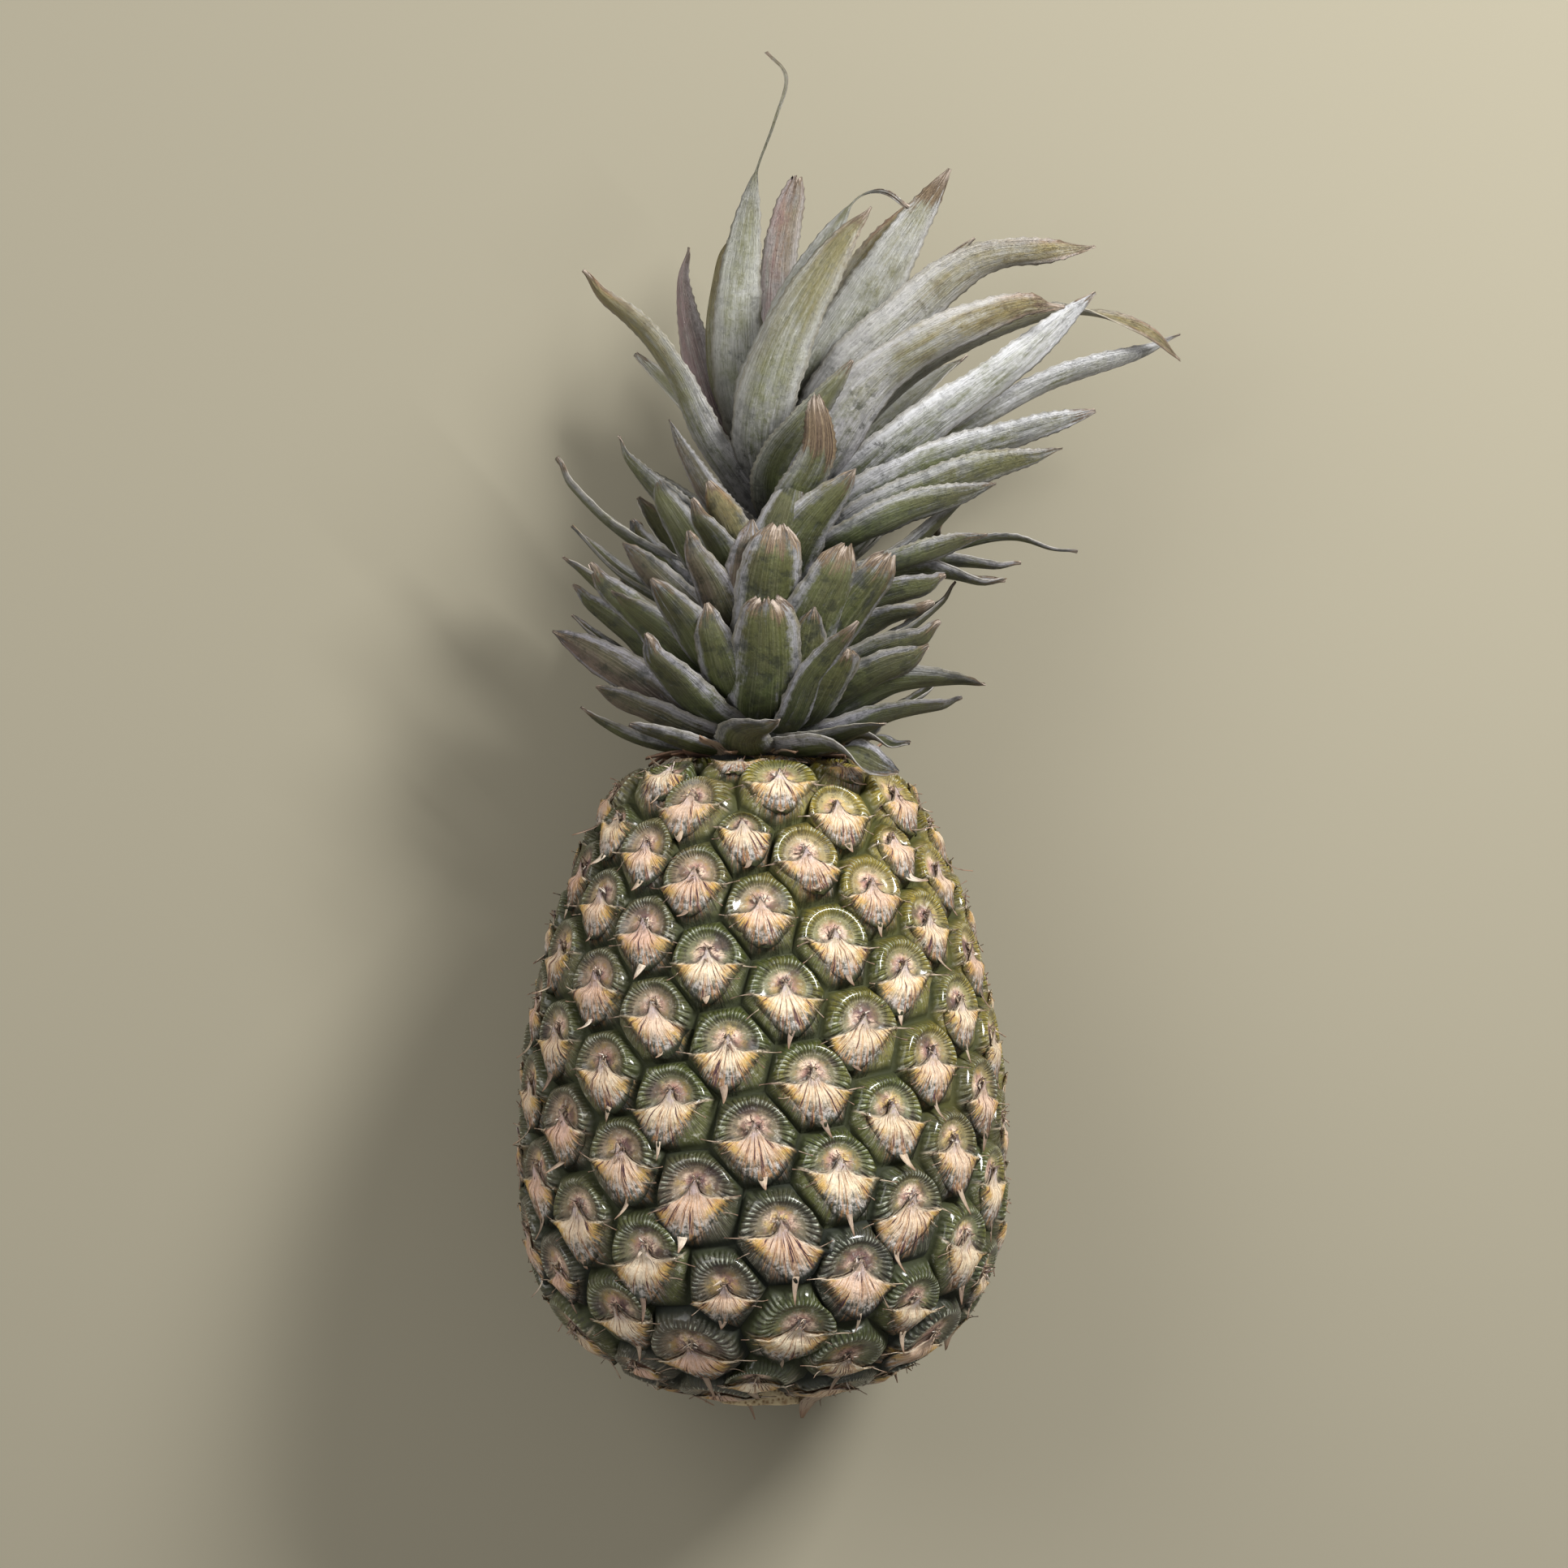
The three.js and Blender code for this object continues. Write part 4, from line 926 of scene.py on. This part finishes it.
SHORT_LEAVES = [
    row("front_broad", .14, 20, 0, (0, 14, 27), (1, 27, 38), (1, 41, 46), bloom=.7, dry=.6, broken=.84),
    row("front_left", .28, 17.5, -34, (-12, 24, 26), (-20, 36, 32), (-28, 47, 36), dry=.8),
    row("front_left_low", .1, 16.5, -34, (-15, 13, 21), (-23, 22, 28), (-31, 31, 33), dry=.8),
    row("front_left_high", .4, 15.5, -26, (-9, 36, 26), (-14, 47, 32), (-20, 58, 35), purple=.3),
    row("front_left_curled", .62, 13, -30, (-8, 50, 20), (-13, 58, 25), (-19, 66, 29), dry=1.2),
    row("front_tan", .68, 13, -18, (-6, 56, 22), (-10, 64, 26), (-14, 72, 28), warm=.8, dry=1),
    row("front_middle", .5, 15.5, -6, (-3, 38, 28), (-4, 50, 36), (-3, 61, 40), purple=.3, dry=.8),
    row("front_ragged", .4, 18.5, 4, (1, 31, 30), (2, 46, 39), (4, 59, 44), bloom=.8, dry=1.6, broken=.84),
    row("front_right_dry", .3, 18.5, 18, (9, 26, 28), (15, 40, 37), (22, 54, 42),
        bloom=.6, dry=1.8, broken=.88),
    row("front_right_tip", .32, 17.5, 32, (14, 27, 25), (23, 39, 32), (33, 52, 37),
        bloom=.6, dry=1.6, broken=.9),
    row("front_right_high", .56, 16.5, 22, (6, 50, 24), (13, 62, 30), (24, 74, 34), dry=1),
    row("right_low_green", .2, 16.5, 36, (17, 19, 18), (29, 27, 25), (46, 34, 28), bloom=.4),
    row("right_pink_tip", .3, 13, 38, (18, 29, 15), (31, 37, 19), (44, 40, 21), dry=1.6),
    row("right_long_green", .1, 15.5, 40, (19, 13, 15), (33, 20, 18), (57, 22, 12), bloom=.4),
    row("right_grey", .06, 13, 44, (20, 8, 11), (34, 13, 11), (52, 16, 6)),
    row("right_curled_edge", .12, 9, 10, (7, 10, 26), (13, 23, 38), (24, 36, 46), dry=1.2),
    row("right_cut", .12, 17.5, 28, (11, 12, 25), (16, 20, 34), (21, 29, 41), bloom=.6, dry=.7, broken=.8),
    row("collar_right", .03, 16.5, 40, (15, 5, 22), (23, 8, 31), (31, 11, 38), bloom=.5),
    row("collar_right_curved", .03, 12, 44, (20, 6, 13), (29, 7, 18), (36, 3, 19)),
    row("collar_shoulder", .02, 15.5, 24, (10, 3, 24), (20, 4, 33), (34, -2, 31), dry=.9),
    row("collar_front", .02, 16.5, -12, (-5, 4, 24), (-4, 8, 33), (4, 10, 40), bloom=.6),
    row("collar_left", .03, 15.5, -50, (-17, 4, 17), (-25, 7, 22), (-34, 10, 23)),
    row("left_low", .1, 15.5, -34, (-20, 12, 11), (-36, 23, 12), (-54, 35, 7), purple=.4),
    row("left_curled", .18, 12, -28, (-18, 20, 15), (-30, 36, 19), (-46, 51, 16), dry=1),
    row("left_thin", .16, 13, -38, (-20, 20, 7), (-35, 34, 8), (-50, 46, 5)),
    row("left_upper", .4, 15.5, -40, (-17, 38, 4), (-27, 51, 3), (-36, 63, 1)),
    row("right_blunt", .4, 13, 38, (21, 42, 10), (42, 49, 7), (62, 46, 2), dry=1, broken=.84),
    row("right_grey_high", .48, 13, 44, (22, 46, 2), (44, 52, 1), (67, 51, -3)),
    row("left_wide", .22, 16, -36, (-16, 24, 18), (-27, 35, 22), (-39, 44, 22), bloom=.6),
    row("left_broad", .34, 16, -36, (-15, 34, 14), (-26, 46, 17), (-36, 57, 15), bloom=.5, purple=.3),
    row("left_high_grey", .5, 15, -34, (-12, 46, 12), (-21, 60, 15), (-29, 74, 13), bloom=.8),
    row("left_collar_low", .06, 15, -30, (-18, 8, 14), (-31, 14, 17), (-43, 20, 15), bloom=.6, purple=.3),
    row("right_wide_low", .16, 17, 30, (17, 16, 20), (29, 23, 26), (43, 29, 26), bloom=.5, dry=.6),
    row("right_grey_low", .36, 15, 34, (18, 36, 15), (32, 43, 18), (48, 47, 14), bloom=.9),
    row("front_low_left", .18, 17, -20, (-8, 19, 27), (-12, 30, 35), (-15, 40, 38), bloom=.7, dry=.8),
    row("front_low_right", .2, 17, 12, (7, 18, 28), (11, 29, 36), (13, 40, 40), bloom=.6, dry=.9),
    row("front_upper_grey", .6, 15, 4, (2, 50, 26), (5, 62, 31), (9, 74, 32), bloom=.9, dry=.7),
]
SIDE_LEAF_COUNT = 39
SIDE_LEAF_TURN = 137.508
SIDE_LEAF_WIDTH = 15.0
SIDE_LEAF_RISE = 46.0
FRONT_SECTOR = 74.0
SURFACE_CLEARANCE = 2.5
BACK_FANS = [
    dict(name="upper", count=5, root=.8, rise=62, drop=13, length=62, spread=44, width=15),
    dict(name="lower", count=4, root=.58, rise=44, drop=20, length=50, spread=46, width=14),
]


def side_leaves():
    """The small leaves at the crown's sides and back: a golden turn apart, rising up the stem."""
    leaves = []
    for i in range(SIDE_LEAF_COUNT):
        face = (i * SIDE_LEAF_TURN + 540) % 360 - 180
        if abs(face) < FRONT_SECTOR:
            continue
        share, turn = i / SIDE_LEAF_COUNT, math.radians(face)
        hang = 0.5 * SIDE_LEAF_WIDTH * abs(math.sin(turn))
        lowest = SURFACE_CLEARANCE + hang - CROWN_BASE[2]
        steps = [(22, 1 + 8 * share), (35 + 5 * share, 4 + 17 * share), (47 + 9 * share, 11 + 27 * share)]
        rib = [(out * math.sin(turn), SIDE_LEAF_RISE * share + rise, max(out * math.cos(turn), lowest))
               for out, rise in steps]
        leaves.append(row(f"side_{i}", 0.02 + 0.6 * share, SIDE_LEAF_WIDTH, face, *rib, bloom=.6, dry=.6))
    return leaves


def back_leaves():
    """The two fans of longer leaves behind the crown."""
    leaves = []
    for fan in BACK_FANS:
        for i in range(fan["count"]):
            side = 2 * i / (fan["count"] - 1) - 1
            rise, drop, length, spread = fan["rise"], fan["drop"], fan["length"], fan["spread"]
            rib = [
                (6 + 10 * side, rise + 6, -drop),
                (8 + 0.55 * spread * side, rise + 0.45 * length, -drop - 13),
                (10 + spread * side, rise + length * (1 - 0.22 * side * side), -drop - 20),
            ]
            title = f"leaf_back_{fan['name']}_{i + 1}"
            leaves.append(row(title, fan["root"], fan["width"], 180 - 34 * side, *rib, bloom=.6))
    return leaves


def curve_points(knots, shares):
    """Points of a centripetal Catmull-Rom curve at shares of its length, with their tangents."""
    knots = np.array(knots, float)
    ends = np.vstack([2 * knots[0] - knots[1], knots, 2 * knots[-1] - knots[-2]])
    place = np.linspace(0, len(knots) - 1, 400)
    first = np.minimum(place.astype(int), len(knots) - 2)
    weight = (place - first)[:, None]
    a, b, c, d = (ends[first + k] for k in range(4))
    before, within, after = (
        (((p - q) ** 2).sum(1) ** 0.25)[:, None] for p, q in ((a, b), (b, c), (c, d))
    )
    leave = ((b - a) / before - (c - a) / (before + within) + (c - b) / within) * within
    arrive = ((c - b) / within - (d - b) / (within + after) + (d - c) / after) * within
    curve = b + leave * weight + (3 * (c - b) - 2 * leave - arrive) * weight**2
    curve = curve + (2 * (b - c) + leave + arrive) * weight**3
    run = np.concatenate([[0], np.cumsum(np.linalg.norm(np.diff(curve, axis=0), axis=1))])
    goal = shares * run[-1]
    points = np.stack([np.interp(goal, run, curve[:, k]) for k in range(3)], 1)
    slopes = np.gradient(curve, run, axis=0)
    tangents = np.stack([np.interp(goal, run, slopes[:, k]) for k in range(3)], 1)
    return points, unit(tangents), run[-1]


def leaf_grid(blade, rows, columns, taper):
    """One leaf as a closed sheet: round it from edge to edge over its inner side and back under its
    outer side. It is a channel whose bend eases towards the tip, with fine teeth and waves on its
    edges and a curled end, and its thickness closes at both ends. Also gives its place on the blade
    and the length of its middle line."""
    share = np.concatenate([[0], np.linspace(0, 1, rows) ** 0.9, [1]])[:, None]
    middle, along, length = curve_points([STEM_TOP * blade["root"], *blade["rib"]], share[:, 0])
    turn = math.radians(blade["face"])
    across = unit(np.cross(unit(STEM_TOP), [math.sin(turn), 0, math.cos(turn)]))
    back = unit(np.cross(across, along))
    side = np.cross(along, back)
    is_broken = blade["broken"] < 1
    full = np.minimum(1, share * blade["broken"] / (1 - blade["tail"]))
    opening = np.sin(math.pi / 2 * np.minimum(1, full / FULL_WIDTH_AT))
    body = ROOT_WIDTH + (1 - ROOT_WIDTH) * opening
    half = 0.5 * blade["width"] * body * np.maximum(0, 1 - full**taper) ** 0.75
    half = np.maximum(half, LEAF_TIP)
    bend = np.radians(ROOT_BEND + (TIP_BEND - ROOT_BEND) * full)
    u = np.concatenate([np.linspace(-1, 1, columns), np.linspace(1, -1, columns), [-1]])
    face = np.concatenate([np.ones(columns), -np.ones(columns), [1]])
    wave = rng.uniform(0, 2 * math.pi, 4)
    run = share * length
    edge = 0.03 * np.sin(run / 4.1 + wave[0] + u * 2) + 0.02 * np.sin(run / 1.7 + wave[1] - u)
    teeth = TOOTH * (np.arange(len(share)) % 3 == 1)[:, None] * (half > 2)
    if is_broken:
        half = half * np.sqrt(1 - 0.8 * (np.maximum(0, share - 0.9) / 0.1) ** 2)
    half = half * (1 + edge * u**2) + teeth * (np.abs(u) > 0.99)
    lift = EDGE_WAVE * np.sin(run / 9.0 + wave[2] + u * 1.6) * u**2 * smoothstep(0, 0.3, share)
    lift = lift - rng.uniform(*TIP_CURL) * smoothstep(0.86, 1, share) ** 2
    torn = BROKEN_RAGS if is_broken else WHOLE_RAGS
    ragged = torn * np.sin(u * 5 + wave[3]) * np.sin(u * 11.3 + wave[1]) * smoothstep(0.85, 1, share)
    thick = 0.5 * LEAF_THICKNESS * (1 - EDGE_THINNING * u * u) * (1 - 0.5 * full**2)
    thick[[0, -1]] = 0
    radius = half / np.sin(bend)
    out = radius + face * thick
    points = middle[:, None] + side[:, None] * (out * np.sin(u * bend))[..., None]
    points = points + back[:, None] * (out * np.cos(u * bend) - radius + lift)[..., None]
    points = points + along[:, None] * ragged[..., None]
    return points, paired(u * 0.5 + 0.5, share), length


def make_leaves(name, blades, finish, slot, replaced, rows=90, columns=11, taper=TAPER):
    """One piece from one or more leaves, each with its own looks."""
    grids, places, lengths = zip(*(leaf_grid(blade, rows, columns, taper) for blade in blades))
    points = np.stack(grids) + CROWN_BASE
    points[..., 2] = np.maximum(points[..., 2], LOWEST_LEAF)
    tints = {title: np.array([blade[title] for blade in blades]) for title in LOOKS}
    tints |= {"seed": rng.uniform(0, 1, len(blades)), "length": np.array(lengths)}
    return make_piece(name, points, finish, slot, replaced, np.stack(places), tints)


STEM_SIDES = 40


def make_stem(finish):
    """The core of the crown that its leaves grow from: its outline turned round a leaning axis."""
    turn = np.linspace(0, 2 * math.pi, STEM_SIDES + 1)
    radius, rise = STEM_OUTLINE.T[:, :, None]
    ring = np.stack([np.cos(turn), np.zeros_like(turn), np.sin(turn)], -1)
    points = rise[..., None] * (STEM_TOP / STEM_TOP[1]) + radius[..., None] * ring + CROWN_BASE
    uv = paired(turn / 6.3, rise / STEM_TOP[1])[None]
    looks = {"bloom": 0.2, "warm": 0.1, "purple": 0, "dry": 0, "seed": 0.5, "length": STEM_TOP[1]}
    return make_piece("crown_core", points[None, :, ::-1], finish, "short_leaves", ["crown_stem"], uv, looks)


SCALE_COUNT = 34
SCALE_ANGLE = 2.4
SCALE_START = 15
SCALE_THICKNESS = 0.35


def make_scales(finish):
    """Small dry scales round the crown's foot, where it sits on the fruit: pointed strips that lie
    outwards over the shoulder and curl up at their ends."""
    turn = np.arange(SCALE_COUNT) * SCALE_ANGLE + rng.normal(0, 0.1, SCALE_COUNT)

    def draw(low, high):
        return column(rng.uniform(low, high, SCALE_COUNT))

    along, across = np.linspace(0, 1, 8)[:, None], np.linspace(-1, 1, 5)
    angle = column(turn) + draw(-0.2, 0.2) * along
    out = SCALE_START + draw(0, 4) + draw(9, 15) * along
    half = draw(3, 5) * (1 - along**2.2) * across
    rise = 1.2 + draw(0, 3) * np.sin(math.pi * along) + draw(-1, 5) * along**3 + 0.5 * across**2
    points = np.stack([
        out * np.sin(angle) + half * np.cos(angle),
        -out * np.cos(angle) + half * np.sin(angle),
        FRUIT_LENGTH + np.broadcast_to(rise, half.shape),
    ], -1)
    uv, tints = paired(across * 0.5 + 0.5, along), {"tint": rng.uniform(0, 0.7, SCALE_COUNT)}
    return make_piece(
        "crown_foot_scales", laid_down(points), finish, "short_leaves", ["crown_stem"], uv, tints,
        thickness=SCALE_THICKNESS,
    )


STALK_OUT = 2.3  # how far the stalk's face stands out past the smooth fruit's end
FACE_RADIUS = 10.5


def make_stalk():
    """The cut end of the stalk: an uneven face inside a raised rind."""
    turn = np.linspace(0, 2 * math.pi, 61)
    radii = np.array([0, 2, 4, 6, 7.5, 8.6, 9.4, 10, 10.4, 10.8, *[STALK_RADIUS] * 3])[:, None]
    heights = np.array([0, 0, 0, 0, 0, -.1, -.3, -.5, -.6, -.4, 0, 3, 5])[:, None] - STALK_OUT
    on_face = (radii > 0) * (radii < FACE_RADIUS)
    bumps = 0.18 * np.sin(turn * 5 + radii) * np.sin(radii * 1.1 + turn * 2) * on_face
    points = np.stack(np.broadcast_arrays(radii * np.sin(turn), -radii * np.cos(turn), heights + bumps), -1)
    return make_piece("stalk_face", laid_down(points)[None], stalk_finish(), "stalk", ["stalk_end"])


# Putting it together

skin_material = skin_finish()
withered_material = withered_finish()
make_skin(skin_material)
make_bracts(skin_material)
make_bristles(withered_material)
make_remnants(withered_material)
make_scraps(withered_material)
make_stalk()
leaf_material = leaf_finish()
make_stem(leaf_material)
make_scales(withered_material)
short_blades = SHORT_LEAVES + side_leaves()
make_leaves(
    "short_leaves_blades", short_blades, leaf_material, "short_leaves", ["crown_stem"],
    rows=36, taper=BLUNT_TAPER,
)
for blade in LARGE_LEAVES + back_leaves():
    node = blade["name"]
    make_leaves(node + "_blade", [blade], leaf_material, blade["slot"], [node])


# The surface, the light and the camera

FLOOR_HALF = 3.0
FLOOR_COLOR = (0.265, 0.241, 0.176, 1)
FILL_COLOR, FILL_STRENGTH = (1, 0.99, 0.97, 1), 0.42
CAMERA_PLACE = (0.0055, 0.0739, 1.26)
CAMERA_LENS = 106.66

floor_mesh = bpy.data.meshes.new("floor")
corners = [(FLOOR_HALF * x, FLOOR_HALF * y, 0) for x, y in ((-1, -1), (1, -1), (1, 1), (-1, 1))]
floor_mesh.from_pydata(corners, [], [(0, 1, 2, 3)])
floor_mesh.materials.append(Finish("paper", Roughness=0.9, Base_Color=FLOOR_COLOR).material)
floor = add_object("floor", floor_mesh)

world = bpy.data.worlds.new("soft_fill")
world.use_nodes = True
fill = world.node_tree.nodes["Background"].inputs
fill["Color"].default_value, fill["Strength"].default_value = FILL_COLOR, FILL_STRENGTH
bpy.context.scene.world = world


def add_light(name, place, target, size, power):
    """A soft square light at a place in metres, turned to a target."""
    data = bpy.data.lights.new(name, "AREA")
    data.size, data.energy = size, power
    light = add_object(name, data)
    light.location = place
    aim = mathutils.Vector(target) - mathutils.Vector(place)
    light.rotation_euler = aim.to_track_quat("-Z", "Y").to_euler()


add_light("window", (0.58, 0.62, 0.74), (0, 0.08, 0.05), size=0.28, power=17)
add_light("far_window", (-0.6, 0.45, 0.8), (0, 0.05, 0.05), size=0.6, power=5)
bpy.context.scene.view_settings.view_transform = "Standard"

camera_data = bpy.data.cameras.new("camera")
camera_data.lens = CAMERA_LENS
camera = add_object("camera", camera_data)
camera.location = CAMERA_PLACE
bpy.context.scene.camera = camera
